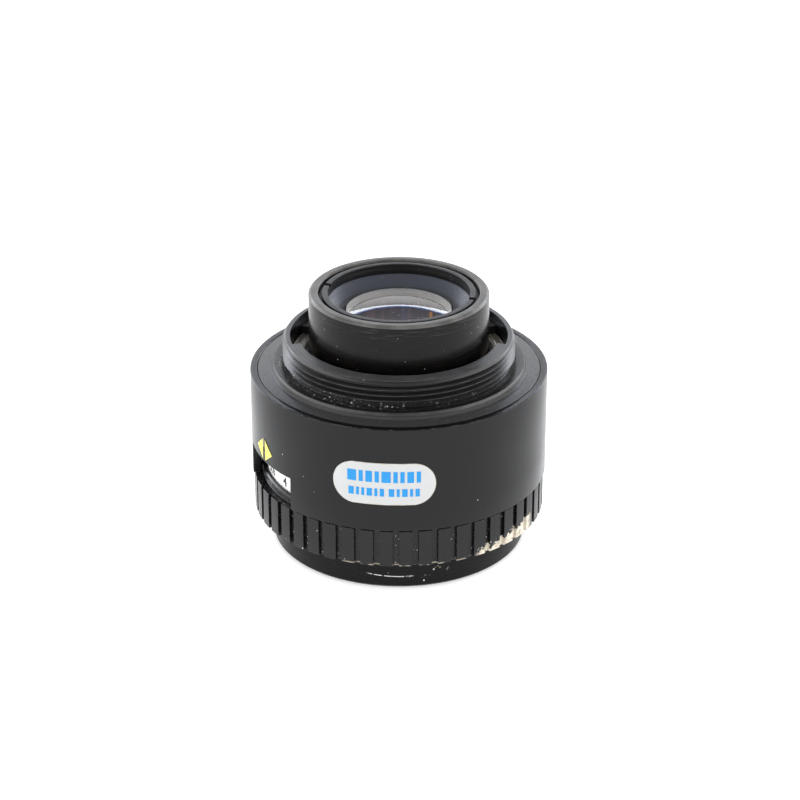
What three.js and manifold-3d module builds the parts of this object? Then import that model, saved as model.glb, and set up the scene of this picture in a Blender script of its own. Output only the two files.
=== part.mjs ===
// A 50 mm enlarging lens that stands on its front ring, in millimetres, with +Z up.
// The origin is the middle of the front ring's lowest face, on the optical axis, and +Z runs
// from the front of the lens to its rear, where the M39 screw mount is.
// Every piece is a separate closed solid. The pieces that turn with the aperture ring, the five
// iris blades and the click lever each have a group of their own.
import * as THREE from "three";
import { mergeVertices } from "three/addons/utils/BufferGeometryUtils.js";
import Module from "manifold-3d";

const wasm = await Module();
wasm.setup();

// ---------------------------------------------------------------- driving dimensions

// Clearances, used wherever two pieces meet.
const seat = 0.05; // between faces that rest on each other
const fit = 0.1; // between a turned piece and the bore that holds it
const running = 0.2; // between pieces that move past each other
const lap = 0.4; // how far joined shapes reach into each other

// Roundness of the turned pieces.
const outerSides = 40; // cover, front ring, aperture ring and mount
const barrelSides = 32; // the tube inside and the rear barrel
const innerSides = 24; // cells, spacers and glass
const smallSides = 10; // screws and pins
const filmSides = 144; // label and index mark
const sectorStep = 7.5; // degrees, the longest chord of a sector

// Outside, from the front upwards.
const bodyRadius = 25;
const coverWall = 1.2;
const coverHeight = 18.3;
const frontRingInset = 3.5; // from the cover's outside to the front ring's
const frontRingHeight = 5.6;
const frontRingBevel = 0.4;
const filterBore = 20; // radius inside the filter thread
const filterDepth = 4;
const funnelDepth = 2.2; // from the filter recess to the front ring's throat
const funnelLedge = 0.4; // the filter recess's floor, radially
const throatRadius = 12.4;
const throatWall = 0.9;
const ringHeight = 6.4; // the ribbed band
const ringInset = 0.3; // rib crests below the cover's outside
const ribCount = 48;
const ribGroove = 2.2; // degrees across one groove
const ribDepth = 0.5;
const ribPhase = -91.1; // degrees, the middle of one groove
const ringBoreInset = 0.9; // from the front ring's outside to the ribbed band's bore
const coverGap = 0.3; // shadow gap between the ribbed band and the cover

// Mount and rear end.
const flangeThickness = 1.5;
const clampLip = 1.2; // the cover's inner lip, radially
const clampLipHeight = 0.95;
const bossRadius = 21.4;
const bossHeight = 1.2;
const bossChamfer = 0.3;
const barrelGap = 0.3; // between the rear barrel and the flange's bore
const threadRadius = 19.5; // M39
const threadPitch = 0.977; // 26 turns to the inch
const threadDepth = 0.6;
const threadTurns = 3;
const neckHeight = 1;
const mountLength = 4.6; // from the boss to the top of the threaded rim
const mountBore = 18.2;
const mountFloor = 0.7; // the annular floor, below the boss's top
const lipBore = 16.7; // the front half of the rim has an inner lip
const lipFrom = -166; // degrees
const lipTo = -14;
const barrelRadius = 15.05;
const barrelProud = 7.8; // above the threaded rim
const rimChamfer = 0.4;
const rimBore = 13.45;
const baffleSeat = 4.5; // depth of the rear recess
const baffleHeight = 2.5;
const baffleFlat = 1.1; // the step around the baffle's hole, radially
const baffleLip = 0.6; // height of the baffle at its hole
const baffleRise = 0.25; // from the hole to the foot of the cone
const rearRingWidth = 1.6;
const rearRingThread = 0.9; // height of the retaining ring's threaded part
const rearRingGap = 0.65; // from the recess's wall to the retaining ring's head
const spannerSlots = [166, -14]; // degrees
const spannerSlotWidth = 1;
const spannerSlotDepth = 0.6;

// Tube inside, and the pieces that it holds.
const tubeBore = 13.8;
const tubeWall = 1.6;
const guideHeight = 3.3; // the flange that the aperture ring turns on
const topFlange = 1.45;
const cellLipHeight = 0.7;
const retainerChamfer = 0.3;
const cellRadius = tubeBore - fit;

// Aperture scale and its window.
const scaleInset = 2.5; // from the cover's outside to the scale's
const scaleWall = 1.2;
const scaleHeight = 6;
const shoulderInset = 1.75;
const shoulderHeight = 1.4;
const shoulderChamfer = 0.3;
const scaleSink = 0.3; // how deep the scale stands in the shoulder
const ledgeWidth = 1.4;
const windowHeight = 5.8;
const windowFrom = -170.9; // degrees
const windowTo = -135.5;
const indexAzimuth = (windowFrom + windowTo) / 2;
const markHalfWidth = 2.84;
const markHeight = 4.35;
const markWaist = 2.1; // height of its widest point
const labelAzimuth = -95.6;
const labelWidth = 17;
const labelHeight = 7.5;
const labelBottom = 17.35;
const filmThickness = 0.1; // label and index mark
const filmGap = 0.03;

// Stops: the ring turns one step from each f-number to the next.
const stopStep = 13.5; // degrees
const stopCount = 6; // 2.8, 4, 5.6, 8, 11, 16
const restStops = 1.5; // at rest the ring stands between the second and third stop
const ringOpen = -restStops * stopStep;
const ringClosed = ringOpen + (stopCount - 1) * stopStep;

// Iris.
const bladeCount = 5;
const bladeThickness = 0.15;
const bladePitch = 0.3; // from one blade's level to the next
const bladeInner = 7.25;
const bladeOuter = 8.8;
const bladeSpan = 112; // degrees
const pivotCircle = 9.6;
const pivotRadius = 0.4;
const pivotBoss = 0.9;
const studArm = 2.2; // from the pivot to the drive stud
const studDirection = -70; // degrees from the outward direction, wide open
const studRadius = 0.35;
const studRim = 0.15; // blade around its stud
const rootAngle = 4; // degrees, half the blade's width at its pivot
const rootEnd = 14; // degrees, where the root runs into the blade
const bladeSwing = 35.2; // degrees from wide open to the smallest stop
const bladeRatio = bladeSwing / (ringClosed - ringOpen);
const irisPlate = 0.6;
const irisWall = 0.8;
const irisBore = 7.6;
const retainerHeight = 0.5;
const camThickness = 0.9;
const camBore = 8.4;
const driveAzimuth = 60; // degrees, at rest
const armWidth = 2.4;
const armHole = 17.7; // radius at which the drive pin stands
const drivePin = 0.5;
const driveWidth = 5;
const driveWall = 1;
const driveInset = 0.6;
const driveFoot = 0.8;
const driveTop = 0.9;

// Click stop.
const clickAzimuth = -60;
const ballRadius = 0.75;
const clickBore = 0.95;
const clickDepth = 3.5;
const springWire = 0.13;
const springTurns = 4;
const notchDepth = 0.5;
const notchHalf = 1.6; // degrees
const leverSlotFrom = -3; // degrees
const leverSlotTo = 25;
const leverSlotHeight = 5.2;
const leverSlotBottom = 17.4;
const leverTravel = 14; // degrees
const leverKnobHalf = 4.3; // degrees
const leverProud = 0.7;
const leverWall = 0.65;
const leverCover = 0.8; // how far the lever's plate reaches past its slot
const leverLap = 2; // degrees, the same at the slot's ends
const leverMargin = 1.7; // degrees between the knob and the end of its slot

// Small fasteners.
const screwCircle = 19.2;
const screwAzimuths = [-90, 30, 150];
const screwHead = 1.5;
const screwHeadHeight = 1;
const screwShank = 0.8;
const screwCover = 1.2; // metal left above a screw's tip

// Light guide: a clear ring under the rim, with a leg down to the back of the scale.
const guideRing = [16, 18]; // radii
const guideRingHeight = 2;
const legWidth = 4.8;
const legRadii = [16.3, 17.7];
const legFoot = 1.6;
const legFace = 1;
const capFrom = 24; // degrees, the black cap over the back of the ring
const capTo = 156;
const capHeight = 1.35;

// Glass: each element has an edge radius and two surfaces. A surface has the height of its
// vertex and a radius of curvature, positive where it bulges towards the front.
const glassSteps = 3;
const cement = 0.05;
const frontGlass = { edge: 11.3, from: 8.3, fromCurve: 26, to: 12.6, toCurve: 80 };
const frontPair = { edge: 10, from: 13.2, fromCurve: 18, middle: 18, to: 19, toCurve: 13, clear: 7.3 };
const rearPair = { edge: 9.8, from: 29.2, fromCurve: -13, middle: 30.4, to: 36, toCurve: -22, clear: 7.5 };
const rearGlass = { edge: 9.85, from: 37.1, fromCurve: 60, to: 42.35, toCurve: -30, neck: 9 };
const glassBorder = 0.7; // the part of an edge that a retaining ring or spacer covers
const neckStep = 0.9; // from the rear recess's floor to where the rear glass narrows
const neckSlope = 0.8;

// ---------------------------------------------------------------- derived heights and radii

const ringBottom = frontRingHeight + running;
const ringTop = ringBottom + ringHeight;
const ringRadius = bodyRadius - ringInset;
const coverBottom = ringTop + coverGap;
const coverTop = coverBottom + coverHeight;
const coverBore = bodyRadius - coverWall;
const windowTop = coverBottom + windowHeight;
const bossTop = coverTop + bossHeight;
const rimTop = bossTop + mountLength;
const lensTop = rimTop + barrelProud;
const frontRingRadius = bodyRadius - frontRingInset;
const ringBore = frontRingRadius - ringBoreInset;
const guideRadius = ringBore - running;
const tubeRadius = tubeBore + tubeWall;
const tubeBottom = filterDepth + funnelDepth + throatWall;
const guideTop = ringTop;
const guideBottom = guideTop - guideHeight;
const clampBottom = coverTop - flangeThickness - seat - clampLipHeight;
const tubeTop = clampBottom - seat;
const shoulderRadius = bodyRadius - shoulderInset;
const shoulderTop = ringTop + shoulderHeight;
const scaleFloor = shoulderTop - scaleSink;
const scaleRadius = bodyRadius - scaleInset;
const scaleBore = scaleRadius - scaleWall;
const ledgeBore = guideRadius - ledgeWidth; // the aperture ring's ledge over its guide
const ledgeBottom = guideTop + running;
const annulusFloor = bossTop - mountFloor;
const guideRingTop = annulusFloor + seat + guideRingHeight;
const cellFront = tubeBottom + running;
const cellLip = frontPair.to + sag(frontPair.toCurve, frontPair.clear) + seat;
const cellRear = cellLip + cellLipHeight;
const irisBottom = cellRear + seat;
const irisFloor = irisBottom + irisPlate;
const firstBlade = irisFloor + bladePitch / 2;
const camBottom = firstBlade + bladeCount * bladePitch + seat;
const camTop = camBottom + camThickness;
const irisInner = cellRadius - irisWall;
const retainerBottom = camTop + running;
const retainerTop = retainerBottom + retainerHeight;
const rearCellBottom = retainerTop + running;
const rearPairSeat = rearPair.from + sag(rearPair.fromCurve, rearPair.clear);
const recessFloor = lensTop - baffleSeat;
const baffleTop = recessFloor + baffleHeight;
const rearRingBore = rimBore - rearRingWidth;
const screwTop = bossTop - screwCover;
const clickInner = guideRadius - clickDepth;
const clickHeight = (guideBottom + guideTop) / 2;
const legAzimuth = indexAzimuth;
const leverRest = leverSlotTo - leverKnobHalf - leverMargin;
const leverRadius = coverBore - running;

// ---------------------------------------------------------------- shape helpers

function radians(degrees) {
  return THREE.MathUtils.degToRad(degrees);
}

// Height of a spherical surface above its vertex, at a distance from the axis.
function sag(curve, radius) {
  return curve - Math.sign(curve) * Math.sqrt(curve * curve - radius * radius);
}

function polar(radius, degrees) {
  return new THREE.Vector2(radius * Math.cos(radians(degrees)), radius * Math.sin(radians(degrees)));
}

function steps(count, from, to) {
  return Array.from({ length: count + 1 }, (_, i) => from + ((to - from) * i) / count);
}

// A ring turned about Z from a closed outline of [radius, height] pairs, anticlockwise.
function turnedRing(outline, sides = innerSides) {
  const points = [...outline, outline[0]].map(([r, z]) => new THREE.Vector2(r, z));
  return new THREE.LatheGeometry(points, sides).rotateX(Math.PI / 2);
}

// A solid of revolution whose outline starts and ends on the axis.
function turnedSolid(outline, sides = innerSides) {
  const points = outline.map(([r, z]) => new THREE.Vector2(r, z));
  return new THREE.LatheGeometry(points, sides).rotateX(Math.PI / 2);
}

function plate(shape, bottom, top) {
  return new THREE.ExtrudeGeometry(shape, { depth: top - bottom, bevelEnabled: false }).translate(0, 0, bottom);
}

// A part of a ring between two azimuths in degrees.
function sector(inner, outer, from, to, bottom, top) {
  const count = Math.ceil((to - from) / sectorStep);
  const shape = new THREE.Shape([
    ...steps(count, from, to).map((a) => polar(outer, a)),
    ...steps(count, to, from).map((a) => polar(inner, a)),
  ]);
  return plate(shape, bottom, top);
}

// A flat outline of [radius, height] pairs that stands upright at an azimuth, with a width.
function upright(outline, width, azimuth) {
  const shape = new THREE.Shape(outline.map(([r, z]) => new THREE.Vector2(r, z)));
  const made = new THREE.ExtrudeGeometry(shape, { depth: width, bevelEnabled: false });
  return made.translate(0, 0, -width / 2).rotateX(Math.PI / 2).rotateZ(radians(azimuth));
}

function rod(radius, bottom, top, x = 0, y = 0) {
  const made = new THREE.CylinderGeometry(radius, radius, top - bottom, smallSides).rotateX(Math.PI / 2);
  return made.translate(x, y, (bottom + top) / 2);
}

// A rod that points away from the axis.
function radialRod(radius, from, to, azimuth, height) {
  const made = new THREE.CylinderGeometry(radius, radius, to - from, smallSides).rotateZ(Math.PI / 2);
  return made.translate((from + to) / 2, 0, height).rotateZ(radians(azimuth));
}

function circlePath(radius, x, y, sides = smallSides) {
  const centre = new THREE.Vector2(x, y);
  return new THREE.Path(steps(sides, 0, 360).slice(0, -1).map((a) => polar(radius, a).add(centre)));
}

function solid(geometry) {
  const bare = geometry.clone();
  bare.deleteAttribute("normal");
  bare.deleteAttribute("uv");
  const merged = mergeVertices(bare, 1e-4);
  const vertProperties = merged.attributes.position.array;
  const triVerts = new Uint32Array(merged.index.array);
  return new wasm.Manifold(new wasm.Mesh({ numProp: 3, vertProperties, triVerts }));
}

function geometryOf(made) {
  const { vertProperties, triVerts } = made.getMesh();
  const geometry = new THREE.BufferGeometry();
  geometry.setAttribute("position", new THREE.BufferAttribute(vertProperties, 3));
  geometry.setIndex(new THREE.BufferAttribute(triVerts, 1));
  geometry.computeVertexNormals();
  return geometry;
}

function joined(...geometries) {
  return geometryOf(geometries.map(solid).reduce((all, next) => all.add(next)));
}

function cut(geometry, ...cutters) {
  return geometryOf(cutters.map(solid).reduce((left, next) => left.subtract(next), solid(geometry)));
}

// ---------------------------------------------------------------- finishes

function finish(color, roughness, metalness) {
  return { color, roughness, metalness };
}

const satinBlack = finish(0x26272a, 0.5, 0.3);
const mattBlack = finish(0x17181a, 0.8, 0.1);
const scaleWhite = finish(0xe6e4dc, 0.45, 0);
const clearPlastic = finish(0xb9a98a, 0.35, 0);
const markYellow = finish(0xe8e070, 0.5, 0);
const labelWhite = finish(0xf2f2ee, 0.5, 0);
const glass = finish(0x9fb4c8, 0.05, 0);
const brass = finish(0xb08d4a, 0.35, 0.9);
const steel = finish(0xb8babd, 0.3, 0.9);
const bladeSteel = finish(0x3a3b3d, 0.6, 0.6);

function piece(name, geometry, look) {
  const mesh = new THREE.Mesh(geometry, new THREE.MeshStandardMaterial(look));
  mesh.name = name;
  return mesh;
}

// ---------------------------------------------------------------- outer pieces

function frontRing() {
  const spigot = guideBottom - seat;
  const spigotRadius = guideRadius - fit;
  const counterbore = tubeRadius + fit;
  const funnelTop = filterDepth + funnelDepth;
  return turnedRing(
    [
      [filterBore, 0],
      [frontRingRadius - frontRingBevel, 0],
      [frontRingRadius, frontRingBevel],
      [frontRingRadius, frontRingHeight],
      [spigotRadius, frontRingHeight],
      [spigotRadius, spigot],
      [counterbore, spigot],
      [counterbore, tubeBottom - seat],
      [throatRadius, tubeBottom - seat],
      [throatRadius, funnelTop],
      [filterBore - funnelLedge, filterDepth],
      [filterBore, filterDepth],
    ],
    outerSides,
  );
}

function coverShell() {
  const lipBoreRadius = coverBore - clampLip;
  const shell = turnedRing(
    [
      [coverBore, coverBottom],
      [bodyRadius, coverBottom],
      [bodyRadius, coverTop],
      [coverBore, coverTop],
      [coverBore, clampBottom + clampLipHeight],
      [lipBoreRadius, clampBottom + clampLipHeight],
      [lipBoreRadius, clampBottom],
      [coverBore, clampBottom],
    ],
    outerSides,
  );
  const inside = coverBore - lap;
  const outside = bodyRadius + lap;
  const leverSlotTop = leverSlotBottom + leverSlotHeight;
  return cut(
    shell,
    sector(inside, outside, windowFrom, windowTo, coverBottom - lap, windowTop),
    sector(inside, outside, leverSlotFrom, leverSlotTo, leverSlotBottom, leverSlotTop),
  );
}

// A thin film on the cover's outside, cut to a flat outline seen from outside.
function film(outline, azimuth) {
  const inner = bodyRadius + filmGap;
  const outer = inner + filmThickness;
  const bottom = coverBottom;
  const wrap = turnedRing([[inner, bottom], [outer, bottom], [outer, coverTop], [inner, coverTop]], filmSides);
  const prism = new THREE.ExtrudeGeometry(new THREE.Shape(outline), { depth: bodyRadius, bevelEnabled: false });
  prism.translate(0, 0, bodyRadius / 2).rotateX(Math.PI / 2).rotateZ(radians(azimuth + 90));
  return geometryOf(solid(wrap).intersect(solid(prism)));
}

// The outline of a film is drawn on a chord, so that its length along the curve is right.
function chord(length) {
  return 2 * bodyRadius * Math.sin(length / 2 / bodyRadius);
}

function label() {
  const end = labelHeight / 2;
  const middle = labelBottom + end;
  const reach = chord(labelWidth) / 2 - end;
  const cap = (side, from) =>
    steps(8, from, from + 180).map((a) => polar(end, a).add(new THREE.Vector2(side * reach, middle)));
  return film([...cap(1, -90), ...cap(-1, 90)], labelAzimuth);
}

function indexMark() {
  const half = chord(2 * markHalfWidth) / 2;
  const bottom = windowTop + seat;
  const outline = [
    [0, bottom],
    [half, bottom + markWaist],
    [0, bottom + markHeight],
    [-half, bottom + markWaist],
  ];
  return film(outline.map(([x, y]) => new THREE.Vector2(x, y)), indexAzimuth);
}

// ---------------------------------------------------------------- mount and rear end

// The M39 thread is drawn as rings of the right pitch, depth and crest. The seat on the boss
// ends outside the thread, so that a board with a hole for the thread lies flat on it.
function mountFlange() {
  const clampBoss = coverBore - clampLip - running;
  const rimRadius = threadRadius - threadDepth;
  const neckRadius = rimRadius - fit;
  const firstCrest = bossTop + neckHeight + threadPitch / 2 - fit;
  const crests = steps(threadTurns - 1, 0, threadTurns - 1).flatMap((turn) => {
    const height = firstCrest + turn * threadPitch;
    return [
      [threadRadius, height],
      [rimRadius, height + threadPitch / 2],
    ];
  });
  const body = turnedRing(
    [
      [barrelRadius + barrelGap, tubeTop + seat],
      [clampBoss, tubeTop + seat],
      [clampBoss, coverTop - flangeThickness],
      [coverBore - fit, coverTop - flangeThickness],
      [coverBore - fit, coverTop],
      [bossRadius, coverTop],
      [bossRadius, coverTop + bossHeight / 3],
      [bossRadius - bossChamfer, bossTop],
      [threadRadius + fit, bossTop],
      [threadRadius + fit, bossTop - fit],
      [neckRadius, bossTop - fit],
      [neckRadius, bossTop + neckHeight],
      ...crests,
      [threadRadius - threadDepth / 3, rimTop - threadDepth],
      [rimRadius, rimTop],
      [mountBore, rimTop],
      [mountBore, annulusFloor],
      [barrelRadius + barrelGap, annulusFloor],
    ],
    outerSides,
  );
  const innerLip = sector(lipBore, mountBore + lap, lipFrom, lipTo, guideRingTop + seat, rimTop);
  const holes = screwAzimuths.map((azimuth) => {
    const place = polar(screwCircle, azimuth);
    return rod(screwShank + fit, tubeTop - lap, screwTop + running, place.x, place.y);
  });
  return cut(joined(body, innerLip), legWindow(), ...holes);
}

function legWindow() {
  const inner = legRadii[0] - running;
  const outer = legRadii[1] + running;
  const bottom = tubeTop - topFlange - lap;
  const outline = [[inner, bottom], [outer, bottom], [outer, annulusFloor + lap], [inner, annulusFloor + lap]];
  return upright(outline, legWidth + 2 * running, legAzimuth);
}

function lightGuide() {
  const bottom = annulusFloor + seat;
  const [inner, outer] = guideRing;
  const ring = turnedRing([[inner, bottom], [outer, bottom], [outer, guideRingTop], [inner, guideRingTop]]);
  const face = scaleBore - lap;
  const faceBottom = shoulderTop + lap;
  const kneeTop = faceBottom + scaleHeight;
  const leg = upright(
    [
      [legRadii[0], kneeTop - legFoot],
      [face - legFace, kneeTop - legFoot],
      [face - legFace, faceBottom],
      [face, faceBottom],
      [face, kneeTop],
      [legRadii[1], kneeTop],
      [legRadii[1], bottom + lap],
      [legRadii[0], bottom + lap],
    ],
    legWidth,
    legAzimuth,
  );
  return joined(ring, leg);
}

function lightGuideCap() {
  const bottom = guideRingTop + seat;
  return sector(guideRing[0], mountBore - fit, capFrom, capTo, bottom, bottom + capHeight);
}

function rearBarrel() {
  const bore = rearGlass.edge + fit;
  return turnedRing(
    [
      [rearPair.clear + glassBorder, rearCellBottom],
      [cellRadius, rearCellBottom],
      [cellRadius, tubeTop + seat],
      [barrelRadius, tubeTop + seat],
      [barrelRadius, lensTop - rimChamfer],
      [barrelRadius - rimChamfer, lensTop],
      [rimBore, lensTop],
      [rimBore, recessFloor],
      [bore, recessFloor],
      [bore, rearPairSeat - seat],
      [rearPair.clear + glassBorder, rearPairSeat - seat],
    ],
    barrelSides,
  );
}

// Cone between the retaining ring and the rear glass.
function rearBaffle() {
  const hole = rearGlass.neck + fit;
  return turnedRing([
    [hole, recessFloor + seat],
    [rimBore - fit, recessFloor + seat],
    [rimBore - fit, baffleTop],
    [rearRingBore, baffleTop],
    [hole + baffleFlat, recessFloor + baffleLip + baffleRise],
    [hole, recessFloor + baffleLip],
  ]);
}

function rearRetainingRing() {
  const bottom = baffleTop + seat;
  const top = lensTop - running;
  const shoulder = bottom + rearRingThread;
  const head = rimBore - rearRingGap;
  const ring = turnedRing([
    [rearRingBore, bottom],
    [rimBore - fit, bottom],
    [rimBore - fit, shoulder],
    [head, shoulder],
    [head, top],
    [rearRingBore, top],
  ]);
  const inner = rearRingBore - lap;
  const outer = head + lap;
  const floor = top - spannerSlotDepth;
  const outline = [[inner, floor], [outer, floor], [outer, top + lap], [inner, top + lap]];
  return cut(ring, ...spannerSlots.map((azimuth) => upright(outline, spannerSlotWidth, azimuth)));
}

// ---------------------------------------------------------------- tube inside

function mainBarrel() {
  const flangeBottom = tubeTop - topFlange;
  const body = turnedRing(
    [
      [tubeBore, tubeBottom],
      [tubeRadius, tubeBottom],
      [tubeRadius, guideBottom],
      [guideRadius, guideBottom],
      [guideRadius, guideTop],
      [tubeRadius, guideTop],
      [tubeRadius, flangeBottom],
      [coverBore - lap, flangeBottom],
      [coverBore - lap, tubeTop],
      [tubeBore, tubeTop],
    ],
    barrelSides,
  );
  const holes = screwAzimuths.map((azimuth) => {
    const place = polar(screwCircle, azimuth);
    return rod(screwShank + fit, flangeBottom - lap, tubeTop + lap, place.x, place.y);
  });
  const clickHole = radialRod(clickBore, clickInner, guideRadius + lap, clickAzimuth, clickHeight);
  return cut(body, driveSlot(irisInner, tubeRadius), legWindow(), clickHole, ...holes);
}

// The way through the tube and the iris housing for the cam ring's arm.
function driveSlot(inner, outer) {
  const side = THREE.MathUtils.radToDeg(armWidth / 2 / (inner - lap)) + 1.5;
  const from = driveAzimuth + ringOpen - side;
  const to = driveAzimuth + ringClosed + side;
  return sector(inner - lap, outer + lap, from, to, camBottom - running, camTop + running);
}

function clickBall() {
  const place = polar(guideRadius + seat - ballRadius, clickAzimuth);
  return new THREE.SphereGeometry(ballRadius, smallSides, 8).translate(place.x, place.y, clickHeight);
}

// A helix that points away from the axis.
class Coil extends THREE.Curve {
  constructor(radius, from, to, turns) {
    super();
    Object.assign(this, { radius, from, to, turns });
  }

  getPoint(t) {
    const angle = 2 * Math.PI * this.turns * t;
    const along = this.from + (this.to - this.from) * t;
    return new THREE.Vector3(along, this.radius * Math.cos(angle), this.radius * Math.sin(angle));
  }
}

function clickSpring() {
  const radius = clickBore - 2 * springWire - fit / 2;
  const ballBack = guideRadius + seat - 2 * ballRadius;
  const coil = new Coil(radius, clickInner + 2 * springWire, ballBack - 2 * springWire, springTurns);
  const section = new THREE.Shape(circlePath(springWire, 0, 0, 5).getPoints());
  const made = new THREE.ExtrudeGeometry(section, { steps: 28, bevelEnabled: false, extrudePath: coil });
  return made.rotateZ(radians(clickAzimuth)).translate(0, 0, clickHeight);
}

function flangeScrew(azimuth) {
  const head = tubeTop - topFlange - seat;
  const place = polar(screwCircle, azimuth);
  const made = turnedSolid(
    [
      [0, head - screwHeadHeight],
      [screwHead, head - screwHeadHeight],
      [screwHead, head],
      [screwShank, head],
      [screwShank, screwTop],
      [0, screwTop],
    ],
    smallSides,
  );
  return made.translate(place.x, place.y, 0);
}

function frontCell() {
  const glassSeat = frontGlass.to + sag(frontGlass.toCurve, frontGlass.edge) + seat;
  return turnedRing([
    [frontGlass.edge + fit, cellFront],
    [cellRadius, cellFront],
    [cellRadius, cellRear],
    [frontPair.clear + glassBorder, cellRear],
    [frontPair.clear + glassBorder, cellLip],
    [frontPair.edge + fit, cellLip],
    [frontPair.edge + fit, glassSeat],
    [frontGlass.edge + fit, glassSeat],
  ]);
}

function frontRetainingRing() {
  const inner = frontGlass.edge - glassBorder;
  const bottom = frontGlass.from + sag(frontGlass.fromCurve, inner) - seat;
  const outer = frontGlass.edge;
  const front = cellFront + retainerChamfer;
  return turnedRing([
    [inner + retainerChamfer, front],
    [outer, front],
    [outer, bottom],
    [inner, bottom],
    [inner, front + retainerChamfer],
  ]);
}

function frontSpacer() {
  const inner = frontPair.edge - glassBorder;
  const outer = frontPair.edge;
  const top = frontPair.from + sag(frontPair.fromCurve, inner) - seat;
  const bottom = frontGlass.to + sag(frontGlass.toCurve, outer) + 2 * seat;
  return turnedRing([[inner, bottom], [outer, bottom], [outer, top], [inner, top]]);
}

function rearSpacer() {
  const inner = rearPair.edge - glassBorder;
  const outer = rearPair.edge;
  const bottom = rearPair.to + sag(rearPair.toCurve, inner) + 2 * seat;
  const top = rearGlass.from + sag(rearGlass.fromCurve, inner) - seat;
  return turnedRing([[inner, bottom], [outer, bottom], [outer, top], [inner, top]]);
}

// ---------------------------------------------------------------- glass

// Points of a spherical surface from one radius to another.
function surface(vertex, curve, from, to) {
  return steps(glassSteps, from, to).map((r) => [r, vertex + sag(curve, r)]);
}

function frontElement() {
  const { edge, from, fromCurve, to, toCurve } = frontGlass;
  return turnedSolid([...surface(from, fromCurve, 0, edge), ...surface(to, toCurve, edge, 0)]);
}

function frontPairOuter() {
  const { edge, from, fromCurve, middle } = frontPair;
  return turnedSolid([...surface(from, fromCurve, 0, edge), [edge, middle], [0, middle]]);
}

function frontPairInner() {
  const { edge, middle, to, toCurve, clear } = frontPair;
  const hollow = surface(to, toCurve, clear, 0);
  return turnedSolid([[0, middle + cement], [edge, middle + cement], [edge, hollow[0][1]], ...hollow]);
}

function rearPairInner() {
  const { edge, from, fromCurve, middle, clear } = rearPair;
  return turnedSolid([...surface(from, fromCurve, 0, clear), [edge, rearPairSeat], [edge, middle], [0, middle]]);
}

function rearPairOuter() {
  const { edge, middle, to, toCurve } = rearPair;
  return turnedSolid([[0, middle + cement], [edge, middle + cement], ...surface(to, toCurve, edge, 0)]);
}

// The rear glass is ground to a narrower neck, which stands in the baffle's hole.
function rearElement() {
  const { edge, from, fromCurve, to, toCurve, neck } = rearGlass;
  const shoulder = recessFloor - neckStep;
  return turnedSolid([
    ...surface(from, fromCurve, 0, edge),
    [edge, shoulder],
    [neck, shoulder + neckSlope],
    ...surface(to, toCurve, neck, 0),
  ]);
}

// ---------------------------------------------------------------- iris

function pivotPlaces() {
  return steps(bladeCount - 1, 0, bladeCount - 1).map((i) => polar(pivotCircle, (360 / bladeCount) * i));
}

function irisHousing() {
  const floor = new THREE.Shape(circlePath(cellRadius - seat, 0, 0, innerSides).getPoints());
  floor.holes.push(circlePath(irisBore, 0, 0, innerSides));
  pivotPlaces().forEach((place) => floor.holes.push(circlePath(pivotRadius + fit, place.x, place.y)));
  const wall = turnedRing([
    [irisInner, irisBottom],
    [cellRadius - seat, irisBottom],
    [cellRadius - seat, retainerTop],
    [irisInner, retainerTop],
  ]);
  return cut(joined(plate(floor, irisBottom, irisFloor), wall), driveSlot(irisInner, cellRadius));
}

function irisRetainer() {
  const outer = irisInner - fit;
  return turnedRing([[camBore, retainerBottom], [outer, retainerBottom], [outer, retainerTop], [camBore, retainerTop]]);
}

// Where a blade's drive stud stands, for a ring angle, beside a pivot at azimuth 0.
function studPlace(ringAngle) {
  const swing = bladeRatio * (ringAngle - ringOpen);
  return polar(studArm, studDirection + swing).add(new THREE.Vector2(pivotCircle, 0));
}

// The outline of a slot along a path, with round ends.
function slotOutline(path, half) {
  const tangents = path.map((p, i) => {
    const ahead = path[Math.min(i + 1, path.length - 1)];
    const behind = path[Math.max(i - 1, 0)];
    return ahead.clone().sub(behind).angle();
  });
  const offset = (i, turn) => polar(half, THREE.MathUtils.radToDeg(tangents[i]) + turn).add(path[i]);
  const last = path.length - 1;
  return [
    ...path.map((_, i) => offset(i, -90)),
    ...[-45, 0, 45].map((turn) => offset(last, turn)),
    ...path.map((_, i) => offset(last - i, 90)),
    ...[135, 180, 225].map((turn) => offset(0, turn)),
  ];
}

// The cam slots are the paths that the blades' studs take in the turning ring.
function camRing() {
  const outer = irisInner - running;
  const shape = new THREE.Shape(circlePath(outer, 0, 0, innerSides).getPoints());
  shape.holes.push(circlePath(camBore, 0, 0, innerSides));
  const origin = new THREE.Vector2();
  const path = steps(9, ringOpen, ringClosed).map((a) => studPlace(a).rotateAround(origin, -radians(a)));
  const outline = slotOutline(path, studRadius + running);
  for (let i = 0; i < bladeCount; i += 1) {
    const turn = radians((360 / bladeCount) * i);
    shape.holes.push(new THREE.Path(outline.map((p) => p.clone().rotateAround(origin, turn))));
  }
  const armFrom = outer - lap;
  const armTo = armHole + armWidth / 2;
  const arm = new THREE.Shape([
    new THREE.Vector2(armFrom, -armWidth / 2),
    new THREE.Vector2(armTo, -armWidth / 2),
    new THREE.Vector2(armTo, armWidth / 2),
    new THREE.Vector2(armFrom, armWidth / 2),
  ]);
  arm.holes.push(circlePath(drivePin + fit, armHole, 0));
  const armPlate = plate(arm, camBottom, camTop).rotateZ(radians(driveAzimuth));
  return joined(plate(shape, camBottom, camTop), armPlate);
}

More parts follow.
